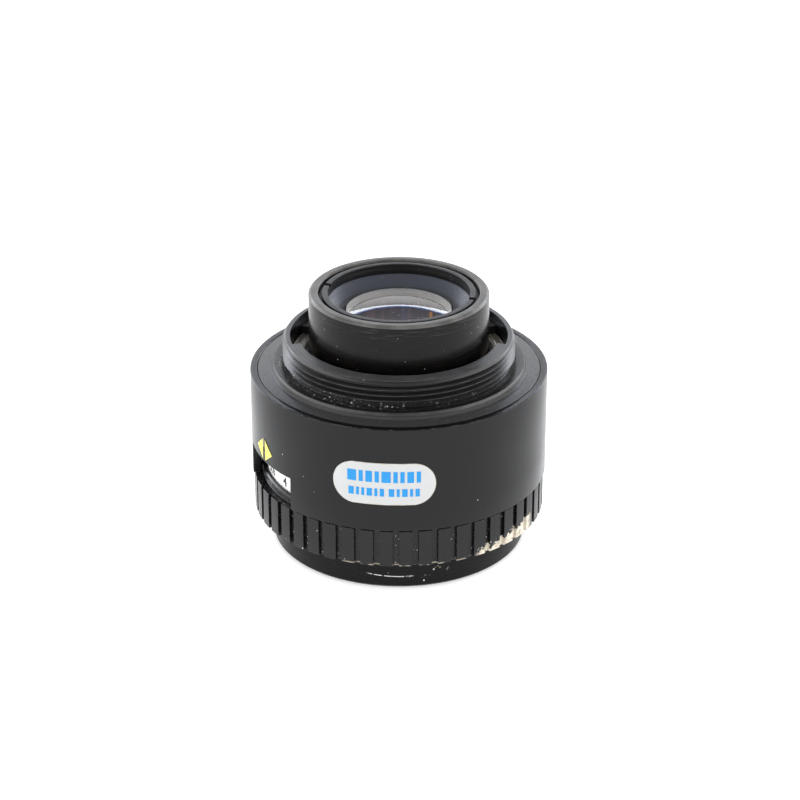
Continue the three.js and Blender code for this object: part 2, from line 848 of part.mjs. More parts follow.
// An angle bracket from the aperture ring's ledge up to the cam ring's arm.
function driveArm() {
  const outer = scaleBore - lap;
  const wall = outer - driveInset;
  const inner = wall - driveWall;
  const foot = scaleFloor + seat;
  const top = camBottom - running;
  const bracket = upright(
    [
      [inner, foot],
      [outer, foot],
      [outer, foot + driveFoot],
      [wall, foot + driveFoot],
      [wall, top],
      [armHole - driveTop, top],
      [armHole - driveTop, top - driveTop],
      [inner, top - driveTop],
    ],
    driveWidth,
    driveAzimuth,
  );
  const place = polar(armHole, driveAzimuth);
  return joined(bracket, rod(drivePin, top - lap, camTop, place.x, place.y));
}

function bladeOutline() {
  const arc = (radius, from, to) => steps(8, from, to).map((a) => polar(radius, a));
  return new THREE.Shape([...arc(bladeOuter, 0, bladeSpan), ...arc(bladeInner, bladeSpan - rootAngle, 0)]);
}

// A blade with its pivot at azimuth 0, wide open. Its pivot stands in the housing's floor and
// its stud in the cam ring.
function blade(level) {
  const bottom = firstBlade + level * bladePitch;
  const top = bottom + bladeThickness;
  const pivot = new THREE.Vector2(pivotCircle, 0);
  const stud = studPlace(ringOpen);
  const disc = (place, radius) => plate(new THREE.Shape(circlePath(radius, place.x, place.y).getPoints()), bottom, top);
  const lever = new THREE.Shape(slotOutline([pivot, stud], studRadius + studRim));
  const root = new THREE.Shape([
    polar(bladeInner, 0.5),
    polar(pivotCircle, -rootAngle),
    polar(pivotCircle, rootAngle),
    polar(bladeOuter - fit, rootEnd),
  ]);
  return joined(
    plate(bladeOutline(), bottom, top),
    plate(root, bottom, top),
    plate(lever, bottom, top),
    disc(pivot, pivotBoss),
    rod(pivotRadius, irisBottom + seat, bottom + bladeThickness / 2, pivot.x, pivot.y),
    rod(studRadius, bottom + bladeThickness / 2, camTop - seat, stud.x, stud.y),
  );
}

// ---------------------------------------------------------------- aperture ring

function ribbedOutline() {
  const pitch = 360 / ribCount;
  const half = ribGroove / 2;
  return steps(ribCount - 1, 0, ribCount - 1).flatMap((i) => {
    const middle = ribPhase + i * pitch;
    return [
      polar(ringRadius, middle - half),
      polar(ringRadius - ribDepth, middle - half),
      polar(ringRadius - ribDepth, middle + half),
      polar(ringRadius, middle + half),
    ];
  });
}

// The ring's bore has a notch for the click ball at each stop.
function notchedBore() {
  const stops = steps(stopCount - 1, ringOpen, ringClosed).map((angle) => clickAzimuth - angle);
  const plain = steps(outerSides, -180, 180).slice(0, -1);
  const clear = plain.filter((a) => stops.every((stop) => Math.abs(a - stop) > notchHalf));
  const corners = [
    ...clear.map((a) => [a, ringBore]),
    ...stops.flatMap((stop) => [
      [stop - notchHalf, ringBore],
      [stop, ringBore + notchDepth],
      [stop + notchHalf, ringBore],
    ]),
  ];
  corners.sort((a, b) => a[0] - b[0]);
  return new THREE.Path(corners.map(([a, r]) => polar(r, a)));
}

function apertureRing() {
  const band = new THREE.Shape(ribbedOutline());
  band.holes.push(notchedBore());
  const sink = ringTop - lap;
  const rabbet = scaleRadius + fit;
  const neck = ringBore + notchDepth + running;
  const shoulder = turnedRing(
    [
      [neck, sink],
      [shoulderRadius, sink],
      [shoulderRadius, scaleFloor],
      [shoulderRadius - shoulderChamfer, shoulderTop],
      [rabbet, shoulderTop],
      [rabbet, scaleFloor],
      [ledgeBore, scaleFloor],
      [ledgeBore, ledgeBottom],
      [neck, ledgeBottom],
    ],
    outerSides,
  );
  return joined(plate(band, ringBottom, ringTop), shoulder);
}

function scaleRing() {
  const bottom = scaleFloor + seat;
  const top = bottom + scaleHeight;
  return turnedRing([[scaleBore, bottom], [scaleRadius, bottom], [scaleRadius, top], [scaleBore, top]], outerSides);
}

// ---------------------------------------------------------------- click lever

function clickLever() {
  const slotTop = leverSlotBottom + leverSlotHeight;
  const half = leverKnobHalf + (leverSlotTo - leverSlotFrom) / 2 + leverLap;
  const inner = leverRadius - leverWall;
  const backing = sector(
    inner,
    leverRadius,
    leverRest - half,
    leverRest + half,
    leverSlotBottom - leverCover,
    slotTop + leverCover,
  );
  const knob = sector(
    inner + leverWall / 2,
    bodyRadius + leverProud,
    leverRest - leverKnobHalf,
    leverRest + leverKnobHalf,
    leverSlotBottom + 2 * running,
    slotTop - 2 * running,
  );
  return joined(backing, knob);
}

// ---------------------------------------------------------------- assembly

const fixed = new THREE.Group();
fixed.add(
  piece("front_ring", frontRing(), satinBlack),
  piece("cover_shell", coverShell(), satinBlack),
  piece("label", label(), labelWhite),
  piece("index_mark", indexMark(), markYellow),
  piece("mount_flange", mountFlange(), satinBlack),
  piece("light_guide", lightGuide(), clearPlastic),
  piece("light_guide_cap", lightGuideCap(), mattBlack),
  piece("rear_barrel", rearBarrel(), satinBlack),
  piece("rear_baffle", rearBaffle(), mattBlack),
  piece("rear_retaining_ring", rearRetainingRing(), satinBlack),
  piece("main_barrel", mainBarrel(), mattBlack),
  piece("click_ball", clickBall(), steel),
  piece("click_spring", clickSpring(), steel),
  piece("front_cell", frontCell(), mattBlack),
  piece("front_retaining_ring", frontRetainingRing(), mattBlack),
  piece("front_spacer", frontSpacer(), mattBlack),
  piece("rear_spacer", rearSpacer(), mattBlack),
  piece("front_element", frontElement(), glass),
  piece("front_doublet_outer", frontPairOuter(), glass),
  piece("front_doublet_inner", frontPairInner(), glass),
  piece("rear_doublet_inner", rearPairInner(), glass),
  piece("rear_doublet_outer", rearPairOuter(), glass),
  piece("rear_element", rearElement(), glass),
  piece("iris_housing", irisHousing(), brass),
  piece("iris_retainer", irisRetainer(), mattBlack),
);
screwAzimuths.forEach((azimuth, i) => fixed.add(piece(`flange_screw_${i + 1}`, flangeScrew(azimuth), steel)));

const turning = new THREE.Group();
turning.add(
  piece("aperture_ring", apertureRing(), satinBlack),
  piece("aperture_scale", scaleRing(), scaleWhite),
  piece("iris_cam_ring", camRing(), brass),
  piece("iris_drive_arm", driveArm(), steel),
);

// Each blade is drawn wide open, then swung about its pivot to where it stands at rest.
const blades = pivotPlaces().map((place, i) => {
  const around = new THREE.Group();
  around.rotation.z = radians((360 / bladeCount) * i);
  const hinge = new THREE.Group();
  hinge.position.x = pivotCircle;
  hinge.rotation.z = radians(-bladeRatio * ringOpen);
  const shape = blade(i).translate(-pivotCircle, 0, 0);
  hinge.add(piece(`iris_blade_${i + 1}`, shape, bladeSteel));
  around.add(hinge);
  return around;
});

const lens = new THREE.Group();
lens.add(fixed, turning, piece("click_lever", clickLever(), satinBlack), ...blades);

export default lens;
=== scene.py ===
"""The looks of a 50 mm enlarging lens that stands on its front ring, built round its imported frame."""

import math

import bmesh
import bpy
from mathutils import Matrix, Vector


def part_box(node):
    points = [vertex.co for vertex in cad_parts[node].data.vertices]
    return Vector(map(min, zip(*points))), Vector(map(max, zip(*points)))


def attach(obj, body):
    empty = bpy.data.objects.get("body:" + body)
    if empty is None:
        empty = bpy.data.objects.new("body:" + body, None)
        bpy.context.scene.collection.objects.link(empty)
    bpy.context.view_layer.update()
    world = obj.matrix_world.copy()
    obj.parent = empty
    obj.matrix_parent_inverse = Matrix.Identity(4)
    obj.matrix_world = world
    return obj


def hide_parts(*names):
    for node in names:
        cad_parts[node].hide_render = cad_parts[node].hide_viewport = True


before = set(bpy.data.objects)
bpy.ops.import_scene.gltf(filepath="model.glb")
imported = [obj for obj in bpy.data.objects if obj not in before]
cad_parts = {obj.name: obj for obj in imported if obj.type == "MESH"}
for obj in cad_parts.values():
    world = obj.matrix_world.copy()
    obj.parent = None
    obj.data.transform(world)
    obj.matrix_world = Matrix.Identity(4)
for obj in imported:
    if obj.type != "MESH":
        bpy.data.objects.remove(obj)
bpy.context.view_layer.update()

# ---------------------------------------------------------------- measures, in millimetres

MM = 0.001
COLUMNS = 240  # round a turned piece
FINE_COLUMNS = 160  # round a smaller or plainer one
CRISP = math.radians(32)  # edges sharper than this stay crisp in the shading


def bottom_of(node):
    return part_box(node)[0].z / MM


def top_of(node):
    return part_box(node)[1].z / MM


def span_of(node):
    return bottom_of(node), top_of(node)


def radius_of(node):
    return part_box(node)[1].x / MM


BODY = radius_of("cover_shell")
COVER_BOTTOM = bottom_of("cover_shell")
COVER_TOP = top_of("cover_shell")
COVER_WALL = 1.2
COVER_BORE = BODY - COVER_WALL
LENS_TOP = top_of("rear_barrel")
RIM_TOP = top_of("mount_flange")
BOSS_TOP = COVER_TOP + 1.2
BARREL = 15.05
RIM_BORE = 13.45
RECESS_FLOOR = bottom_of("rear_baffle") - 0.05
THREAD = 19.5
PITCH = 0.977
MOUNT_BORE = 18.2
ANNULUS_FLOOR = bottom_of("light_guide_cap") - 2.1
RING_BOTTOM = bottom_of("aperture_ring")
RIB_TOP = COVER_BOTTOM - 0.3
RIB_CREST = BODY - 0.3
RIB_ROOT = RIB_CREST - 0.5
RIB_COUNT = 48
RIB_PHASE = -91.1  # degrees, the middle of one groove
GROOVE = 2.2  # degrees
FRONT = radius_of("front_ring")
FRONT_TOP = RING_BOTTOM - 0.2
SCALE_RADIUS = radius_of("aperture_scale")
SCALE_BOTTOM = bottom_of("aperture_scale")
SCALE_TOP = top_of("aperture_scale")
SHOULDER = BODY - 1.75
SHOULDER_TOP = RIB_TOP + 1.4
WINDOW = (-170.9, -135.5)  # degrees
WINDOW_TOP = COVER_BOTTOM + 5.8
LEVER_SLOT = (-3.0, 25.0)  # degrees
SLOT_BOTTOM = bottom_of("click_lever") + 0.8
SLOT_TOP = top_of("click_lever") - 0.8
INDEX = sum(WINDOW) / 2
LABEL = -95.6  # degrees
LABEL_WIDTH = 17.0
PROUD = 0.03  # how far the label and the mark stand off the cover
INK = 0.02  # the thickness of printing
FRONT_RIM = 11.3
FRONT_BACK = (12.6, 80)  # where the first glass's rear face crosses the axis, and its radius

# ---------------------------------------------------------------- mesh helpers


def box_outline(inner, outer, low, high):
    """The outline of a plain ring or bar."""
    return [(inner, low), (outer, low), (outer, high), (inner, high)]


def outline_wire(mesh, outline, soften=0.0, closed=True, azimuth=0.0):
    """An outline of (radius, height) pairs stood upright at an azimuth, with its corners rounded."""
    turn = Matrix.Rotation(math.radians(azimuth), 4, "Z")
    points = [mesh.verts.new(turn @ Vector((r * MM, 0, z * MM))) for r, z in outline]
    ends = points[1:] + points[:1] if closed else points[1:]
    edges = [mesh.edges.new(pair) for pair in zip(points, ends)]
    if soften:
        corners = [v for v in points if len(v.link_edges) == 2 and bend_at(v) > CRISP]
        bmesh.ops.bevel(
            mesh, geom=corners, offset=soften * MM, affect="VERTICES",
            segments=3, profile=0.5, material=-1, clamp_overlap=True,
        )
        edges = mesh.edges[:]
    return mesh.verts[:], edges


def bend_at(corner):
    first, second = (e.other_vert(corner).co - corner.co for e in corner.link_edges)
    return math.pi - first.angle(second)


def spin(mesh, geometry, degrees, steps, rise=0.0, full=False):
    made = bmesh.ops.spin(
        mesh, geom=geometry, cent=(0, 0, 0), axis=(0, 0, 1), dvec=(0, 0, rise * MM / steps),
        angle=math.radians(degrees), steps=steps, use_merge=full, use_duplicate=False,
    )
    return made["geom_last"]


def close_up(mesh):
    bmesh.ops.remove_doubles(mesh, verts=mesh.verts[:], dist=MM * 0.002)
    bmesh.ops.recalc_face_normals(mesh, faces=mesh.faces[:])


def close_ends(mesh, first, last):
    """Closes both ends of an outline that was carried along."""
    bmesh.ops.edgeloop_fill(mesh, edges=first)
    bmesh.ops.edgeloop_fill(mesh, edges=[g for g in last if isinstance(g, bmesh.types.BMEdge)])


def turned(outline, soften=0.12, closed=True, columns=COLUMNS):
    """A piece turned about the axis from its outline."""
    mesh = bmesh.new()
    points, edges = outline_wire(mesh, outline, soften, closed)
    spin(mesh, points + edges, 360, columns, full=True)
    close_up(mesh)
    return mesh


def arc_piece(outline, start, end, soften=0.1, step=1.5):
    """A part of a ring between two azimuths, with closed ends."""
    mesh = bmesh.new()
    points, edges = outline_wire(mesh, outline, soften, azimuth=start)
    count = max(2, round((end - start) / step))
    first = list(edges)
    last = spin(mesh, points + edges, end - start, count)
    close_ends(mesh, first, last)
    close_up(mesh)
    return mesh


def helix(outline, start, turns, fade, root, steps=120):
    """A thread's ridge: an outline carried along a right-hand helix, sinking into its root at both ends."""
    mesh = bmesh.new()
    points, edges = outline_wire(mesh, outline, azimuth=start)
    first = list(edges)
    last = spin(mesh, points + edges, 360 * turns, round(steps * turns), rise=PITCH * turns)
    close_ends(mesh, first, last)
    foot = sum(z for _, z in outline) / len(outline)
    for vert in mesh.verts:
        azimuth = (azimuth_of(vert.co) - start) % 360
        turn = round(((vert.co.z / MM - foot) / PITCH) - azimuth / 360)
        along = min(max(azimuth + 360 * turn, 0), 360 * turns)
        share = min(1, along / fade, (360 * turns - along) / fade)
        radius = radius_at(vert.co)
        scale_across(vert, (root + (radius - root) * share) / radius)
    close_up(mesh)
    return mesh


def merged(*meshes):
    """Several meshes as the shells of one piece."""
    whole = meshes[0]
    for part in meshes[1:]:
        holder = bpy.data.meshes.new("holder")
        part.to_mesh(holder)
        whole.from_mesh(holder)
        bpy.data.meshes.remove(holder)
        part.free()
    return whole


def azimuth_of(point):
    return math.degrees(math.atan2(point.y, point.x))


def radius_at(point):
    return math.hypot(point.x, point.y) / MM


def scale_across(vert, scale):
    """Moves a vertex straight towards the axis or away from it."""
    vert.co.x *= scale
    vert.co.y *= scale


def lift(mesh, height):
    """Moves a flat piece up the wall that it will be wrapped round."""
    bmesh.ops.translate(mesh, verts=mesh.verts[:], vec=(0, height * MM, 0))


def bisect(mesh, point, normal, reach=0.0005):
    """Adds edges all round a mesh where a plane meets it."""
    geometry = mesh.verts[:] + mesh.edges[:] + mesh.faces[:]
    bmesh.ops.bisect_plane(mesh, geom=geometry, dist=MM * reach, plane_co=point, plane_no=normal)


def cut_columns(mesh, azimuths, heights):
    """Adds edges to a turned wall where an opening will have its sides, top and bottom."""
    for azimuth in azimuths:
        a = math.radians(azimuth)
        bisect(mesh, (0, 0, 0), (-math.sin(a), math.cos(a), 0))
    for height in heights:
        bisect(mesh, (0, 0, height * MM), (0, 0, 1))


def open_wall(mesh, span, low, high, middle):
    """Cuts an opening through a turned wall and closes its thickness."""
    inside = []
    for face in mesh.faces:
        centre = face.calc_center_median()
        if span[0] < azimuth_of(centre) < span[1] and low < centre.z / MM < high:
            inside.append(face)
    bmesh.ops.delete(mesh, geom=inside, context="FACES")
    edge_of_wall = [e for e in mesh.edges if e.is_boundary]

    def on_one_side(edge, outer):
        return all((radius_at(v.co) > middle) == outer for v in edge.verts)

    chains = [e for e in edge_of_wall if on_one_side(e, True) or on_one_side(e, False)]
    bmesh.ops.bridge_loops(mesh, edges=chains)
    close_up(mesh)


def wrap(mesh, azimuth, radius):
    """Bends a flat piece, drawn facing +Z at the origin, round the body: its X runs along the
    wall, its Y stays upright and its Z stands out from the wall."""
    for vert in mesh.verts:
        angle = math.radians(azimuth) + vert.co.x / (radius * MM)
        reach = radius * MM + vert.co.z
        vert.co = Vector((reach * math.cos(angle), reach * math.sin(angle), vert.co.y))
    return mesh


def thicken(mesh, thickness):
    """Gives flat faces a thickness, upwards, and closes their sides."""
    made = bmesh.ops.extrude_face_region(mesh, geom=mesh.faces[:])
    moved = [g for g in made["geom"] if isinstance(g, bmesh.types.BMVert)]
    bmesh.ops.translate(mesh, verts=moved, vec=(0, 0, thickness * MM))
    close_up(mesh)


def slice_flat(mesh, half_width, step=0.6):
    """Cuts a flat piece into strips, so that it can be bent."""
    count = int(half_width / step)
    for i in range(-count, count + 1):
        bisect(mesh, (i * step * MM, 0, 0), (1, 0, 0), 0.001)


def pill(width, height, thickness):
    """A flat piece with two round ends, centred on the origin."""
    mesh = bmesh.new()
    end = height / 2
    bmesh.ops.create_circle(mesh, cap_ends=True, segments=64, radius=end * MM)
    for vert in mesh.verts:
        side = 1 if vert.co.x > MM * 1e-4 else -1 if vert.co.x < -MM * 1e-4 else 0
        vert.co.x += side * (width / 2 - end) * MM
    slice_flat(mesh, width / 2)
    thicken(mesh, thickness)
    return mesh


def flat_polygon(points, thickness, half_width):
    """A flat piece with straight sides, in strips out to half_width on both sides of the origin."""
    mesh = bmesh.new()
    mesh.faces.new([mesh.verts.new((x * MM, y * MM, 0)) for x, y in points])
    slice_flat(mesh, half_width, 0.3)
    thicken(mesh, thickness)
    return mesh


def bar(x, y, width, height, thickness):
    """A small upright rectangle with its lower left corner at x, y."""
    corners = [(x, y), (x + width, y), (x + width, y + height), (x, y + height)]
    return flat_polygon(corners, thickness, max(abs(x), abs(x + width)))


def numeral(text, size, thickness):
    """A number as a flat mesh, centred on the origin."""
    curve = bpy.data.curves.new("numeral", "FONT")
    curve.body = text
    curve.size = size * MM
    curve.align_x = "CENTER"
    curve.align_y = "CENTER"
    curve.resolution_u = 3
    curve.offset = 0.02 * MM
    holder = bpy.data.objects.new("numeral", curve)
    bpy.context.scene.collection.objects.link(holder)
    bpy.context.view_layer.update()
    flat = bpy.data.meshes.new_from_object(holder.evaluated_get(bpy.context.evaluated_depsgraph_get()))
    mesh = bmesh.new()
    mesh.from_mesh(flat)
    bpy.data.objects.remove(holder)
    bpy.data.curves.remove(curve)
    bpy.data.meshes.remove(flat)
    bmesh.ops.remove_doubles(mesh, verts=mesh.verts[:], dist=MM * 0.002)
    for face in mesh.faces:
        face.normal_update()
    bmesh.ops.recalc_face_normals(mesh, faces=mesh.faces[:])
    thicken(mesh, thickness)
    return mesh


def piece(name, mesh, finish, body="lens_body", node=None, smooth=True):
    """Makes the object of a finished mesh, gives it its finish and body, and hides the frame's node that it
    replaces.
    """
    bmesh.ops.triangulate(mesh, faces=[f for f in mesh.faces if len(f.verts) > 4])
    data = bpy.data.meshes.new(name)
    mesh.to_mesh(data)
    mesh.free()
    data.materials.append(finish)
    if smooth:
        data.shade_smooth()
        data.set_sharp_from_angle(angle=CRISP)
    made = bpy.data.objects.new(name, data)
    bpy.context.scene.collection.objects.link(made)
    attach(made, body)
    if node:
        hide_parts(node)


# ---------------------------------------------------------------- finish helpers


class Patterns:
    """Makes and joins the nodes of one tree."""

    def __init__(self, tree):
        self.tree = tree

    def feed(self, socket, value):
        if isinstance(value, bpy.types.NodeSocket):
            self.tree.links.new(value, socket)
        elif value is not None:
            socket.default_value = value

    def node(self, kind, settings=None, **sockets):
        made = self.tree.nodes.new(kind)
        for key, value in (settings or {}).items():
            setattr(made, key, value)
        for key, value in sockets.items():
            self.feed(made.inputs[key.replace("_", " ")], value)
        return made

    def math(self, operation, *values, clamp=False):
        made = self.node("ShaderNodeMath", {"operation": operation, "use_clamp": clamp})
        for socket, value in zip(made.inputs, values):
            self.feed(socket, value)
        return made.outputs[0]

    def times(self, *values):
        product = values[0]
        for value in values[1:]:
            product = self.math("MULTIPLY", product, value)
        return product

    def most(self, *values):
        largest = values[0]
        for value in values[1:]:
            largest = self.math("MAXIMUM", largest, value)
        return largest

    def less(self, value):
        return self.math("SUBTRACT", 1.0, value, clamp=True)

    def rises(self, value, low, high, start=0.0, end=1.0):
        """A smooth change from start to end while the value goes from low to high."""
        made = self.node(
            "ShaderNodeMapRange", {"interpolation_type": "SMOOTHSTEP", "clamp": True},
            Value=value, From_Min=low, From_Max=high, To_Min=start, To_Max=end,
        )
        return made.outputs["Result"]

    def scaled(self, value, gain, lift):
        return self.math("MULTIPLY_ADD", value, gain, lift)

    def tinted(self, value, colour):
        made = self.node("ShaderNodeVectorMath", {"operation": "SCALE"}, Vector=colour, Scale=value)
        return made.outputs[0]

    def added(self, first, second):
        made = self.node("ShaderNodeVectorMath", {"operation": "ADD"})
        self.feed(made.inputs[0], first)
        self.feed(made.inputs[1], second)
        return made.outputs[0]


class Finish(Patterns):
    """A material in the making. Its patterns are measured on the object, in millimetres."""

    def __init__(self, name, colour, roughness, metallic=0.0, specular=0.5):
        self.material = bpy.data.materials.new(name)
        self.material.use_nodes = True
        super().__init__(self.material.node_tree)
        self.shader = self.tree.nodes["Principled BSDF"]
        self.set("Metallic", metallic)
        self.set("Specular IOR Level", specular)
        self.colour = (*colour, 1)
        self.roughness = roughness
        self.relief = None
        place = self.node("ShaderNodeTexCoord").outputs["Object"]
        scaled = self.node("ShaderNodeVectorMath", {"operation": "SCALE"}, Vector=place, Scale=1 / MM)
        self.place = scaled.outputs["Vector"]
        parts = self.node("ShaderNodeSeparateXYZ", Vector=self.place)
        self.x, self.y, self.height = (parts.outputs[k] for k in "XYZ")
        squares = self.math("ADD", self.times(self.x, self.x), self.times(self.y, self.y))
        self.radius = self.math("SQRT", squares)
        self.azimuth = self.math("DEGREES", self.math("ARCTAN2", self.y, self.x))

    def set(self, name, value):
        self.shader.inputs[name].default_value = value

    def band(self, value, low, high, edge):
        """One between low and high, and nothing outside."""
        end = self.rises(value, high - edge, high + edge, 1, 0)
        return self.times(self.rises(value, low - edge, low + edge), end)

    def away(self, value, centre):
        """How far a value is from a centre."""
        return self.math("ABSOLUTE", self.math("SUBTRACT", value, centre))

    def vector(self, x, y, z):
        return self.node("ShaderNodeCombineXYZ", X=x, Y=y, Z=z).outputs["Vector"]

    def noise(self, scale, detail=3.0, rough=0.55, where=None):
        place = where or self.place
        made = self.node("ShaderNodeTexNoise", Vector=place, Scale=scale, Detail=detail, Roughness=rough)
        return made.outputs["Fac"]

    def patches(self, scale, detail, low, high, share=1.0, rough=0.55):
        """Uneven patches: nothing where a noise is under low, and the full share over high."""
        return self.rises(self.noise(scale, detail, rough), low, high, 0.0, share)

    def ring_marks(self, density, drift=0.35):
        """Marks that a turning tool leaves: they run round, and hardly change along their length."""
        across = self.scaled(self.x, drift / density, self.radius)
        along = self.scaled(self.y, drift / density, self.height)
        return self.noise(density, 2.0, 0.6, self.vector(across, along, 0.0))

    def specks(self, cell, size, share):
        """Scattered grains: one cell in a share of them holds a grain."""
        made = self.node(
            "ShaderNodeTexVoronoi", {"feature": "F1"}, Vector=self.place, Scale=1 / cell, Randomness=1.0,
        )
        grain = self.rises(made.outputs["Distance"], size * 0.6, size, 1, 0)
        chance = self.node("ShaderNodeSeparateColor", Color=made.outputs["Color"]).outputs["Red"]
        return self.times(grain, self.rises(chance, 1 - share, 1 - share + 0.02))

    def lint(self, scale, width, share):
        """Short fine hairs, the level lines of a noise, kept in a few places."""
        line = self.rises(self.away(self.noise(scale, 0.0), 0.5), width * 0.5, width, 1, 0)
        places = self.noise(scale * 2.1, 1.0, 0.5, self.vector(self.y, self.height, self.x))
        return self.times(line, self.rises(places, 1 - share, 1.03 - share))

    def paint(self, amount, colour, roughness=None):
        """Lays a colour over what is there, by an amount from 0 to 1."""
        base = self.node("ShaderNodeMix", {"data_type": "RGBA"})
        self.feed(base.inputs[0], amount)
        self.feed(base.inputs[6], self.colour)
        self.feed(base.inputs[7], colour if isinstance(colour, bpy.types.NodeSocket) else (*colour, 1))
        self.colour = base.outputs[2]
        if roughness is not None:
            self.roughen(amount, roughness)

    def roughen(self, amount, roughness):
        """Goes towards another roughness, by an amount from 0 to 1."""
        made = self.node("ShaderNodeMix", {"data_type": "FLOAT"})
        self.feed(made.inputs[0], amount)
        self.feed(made.inputs[2], self.roughness)
        self.feed(made.inputs[3], roughness)
        self.roughness = made.outputs[0]

    def raise_by(self, pattern, height):
        """Adds a relief: a pattern from 0 to 1 and its height in millimetres."""
        raised = self.times(pattern, height)
        self.relief = raised if self.relief is None else self.math("ADD", self.relief, raised)

    def done(self, strength=1.0):
        self.feed(self.shader.inputs["Base Color"], self.colour)
        self.feed(self.shader.inputs["Roughness"], self.roughness)
        if self.relief is not None:
            bump = self.node("ShaderNodeBump", Strength=strength, Distance=MM, Height=self.relief)
            self.feed(self.shader.inputs["Normal"], bump.outputs["Normal"])
        return self.material


DUST = (0.62, 0.6, 0.56)


# ---------------------------------------------------------------- finishes


def satin_black_cover():
    """Fine satin anodising on the cover, rubbed thin along its two edges."""
    look = Finish("satin_black_cover", (0.0045, 0.0045, 0.005), 0.19, specular=0.28)
    cloud = look.noise(0.09, 3.0)
    look.roughen(look.rises(cloud, 0.35, 0.7), 0.24)
    grain = look.noise(5.0, 2.0)
    look.paint(look.rises(grain, 0.5, 0.8, 0, 0.25), (0.014, 0.014, 0.015))
    corner = look.rises(look.radius, BODY - 0.22, BODY - 0.1)
    top_edge = look.times(look.rises(look.height, COVER_TOP - 0.1, COVER_TOP - 0.04), corner)
    low_edge = look.rises(look.height, COVER_BOTTOM + 0.04, COVER_BOTTOM + 0.12, 1, 0)
    patchy = look.patches(0.5, 3.0, 0.44, 0.6)
    look.paint(look.times(look.most(top_edge, low_edge), patchy, 0.5), (0.09, 0.09, 0.09), 0.28)
    look.paint(look.specks(2.6, 0.05, 0.35), DUST, 0.8)
    look.paint(look.times(look.lint(0.35, 0.0016, 0.12), 0.35), (0.2, 0.2, 0.2), 0.6)
    rub = look.noise(1.0, 2.0, 0.6, look.vector(look.math("MULTIPLY", look.azimuth, 0.03), look.height, 0.0))
    look.roughen(look.rises(rub, 0.62, 0.75), 0.32)
    look.raise_by(grain, 0.005)
    look.raise_by(look.noise(14.0, 1.0), 0.002)
    return look.done(0.5)


def ribbed_black():
    """The ribbed band: crests polished by fingers, grey dust in the grooves, and old glue."""
    look = Finish("ribbed_black", (0.0035, 0.0035, 0.004), 0.27, specular=0.34)
    crest = look.rises(look.radius, RIB_CREST - 0.2, RIB_CREST - 0.06)
    on_band = look.rises(look.height, RIB_TOP + 0.02, RIB_TOP + 0.1, 1, 0)
    look.paint(look.times(crest, on_band, 0.6), (0.008, 0.008, 0.009), 0.27)
    rib_edge = look.band(look.radius, RIB_CREST - 0.1, RIB_CREST - 0.015, 0.015)
    wear = look.patches(1.4, 3.0, 0.45, 0.65)
    look.paint(look.times(rib_edge, on_band, wear, 0.35), (0.13, 0.13, 0.13), 0.32)
    groove = look.less(look.rises(look.radius, RIB_ROOT + 0.05, RIB_ROOT + 0.3))
    powder = look.patches(3.2, 4.0, 0.5, 0.78, rough=0.7)
    look.paint(look.times(groove, powder, 0.35), (0.12, 0.115, 0.11), 0.85)
    look.paint(look.times(groove, look.specks(0.5, 0.16, 0.3)), DUST, 0.9)
    rim = look.rises(look.radius, RIB_ROOT - 0.9, RIB_ROOT - 0.4)
    low = look.times(look.rises(look.height, RING_BOTTOM + 0.1, RING_BOTTOM + 0.8, 1, 0), rim)
    look.paint(look.times(low, look.specks(0.55, 0.3, 0.28)), DUST, 0.9)
    front_stretch = look.band(look.azimuth, -112.0, -62.0, 3.0)
    line = look.rises(look.height, RING_BOTTOM + 0.18, RING_BOTTOM + 0.3, 1, 0)
    broken = look.patches(0.55, 3.0, 0.45, 0.52)
    look.paint(look.times(line, broken, front_stretch, rim, 0.8), (0.36, 0.32, 0.25), 0.8)
    left_stretch = look.band(look.azimuth, -160.0, -112.0, 3.0)
    chips = look.times(look.specks(0.8, 0.4, 0.55), groove, left_stretch)
    foot = look.rises(look.height, RING_BOTTOM + 0.5, RING_BOTTOM + 1.2, 1, 0)
    look.paint(look.times(chips, foot, rim), (0.75, 0.73, 0.7), 0.8)
    glue_spot(look)
    look.paint(look.times(look.specks(2.2, 0.06, 0.3), 0.8), DUST, 0.8)
    look.raise_by(look.noise(4.5, 3.0), 0.005)
    return look.done(0.6)


def glue_spot(look):
    """Dried glue smeared along the lower right of the body, ragged at its upper edge."""
    ragged = look.math("SUBTRACT", look.noise(0.7, 4.0, 0.65), 0.5)
    climb = look.rises(look.azimuth, -60.0, -30.0, 0.0, 1.5)
    level = look.math("ADD", look.height, look.times(ragged, 4.5))
    level = look.math("SUBTRACT", level, climb)
    reach = look.band(look.azimuth, -58.0, -27.0, 2.0)
    under = look.rises(level, RING_BOTTOM + 0.7, RING_BOTTOM + 0.95, 1, 0)
    above = look.rises(look.height, RING_BOTTOM - 1.3, RING_BOTTOM - 0.9)
    outside = look.rises(look.radius, FRONT - 0.3, FRONT - 0.1)
    patch = look.times(under, above, reach, outside)
    crumbs = look.patches(1.5, 4.0, 0.3, 0.5, rough=0.7)
    shade = look.node("ShaderNodeMix", {"data_type": "RGBA"})
    look.feed(shade.inputs[0], crumbs)
    look.feed(shade.inputs[6], (0.3, 0.24, 0.17, 1))
    look.feed(shade.inputs[7], (0.68, 0.62, 0.52, 1))
    look.paint(patch, shade.outputs[2], 0.75)
    look.raise_by(look.times(patch, look.math("ADD", crumbs, 0.6)), 0.12)


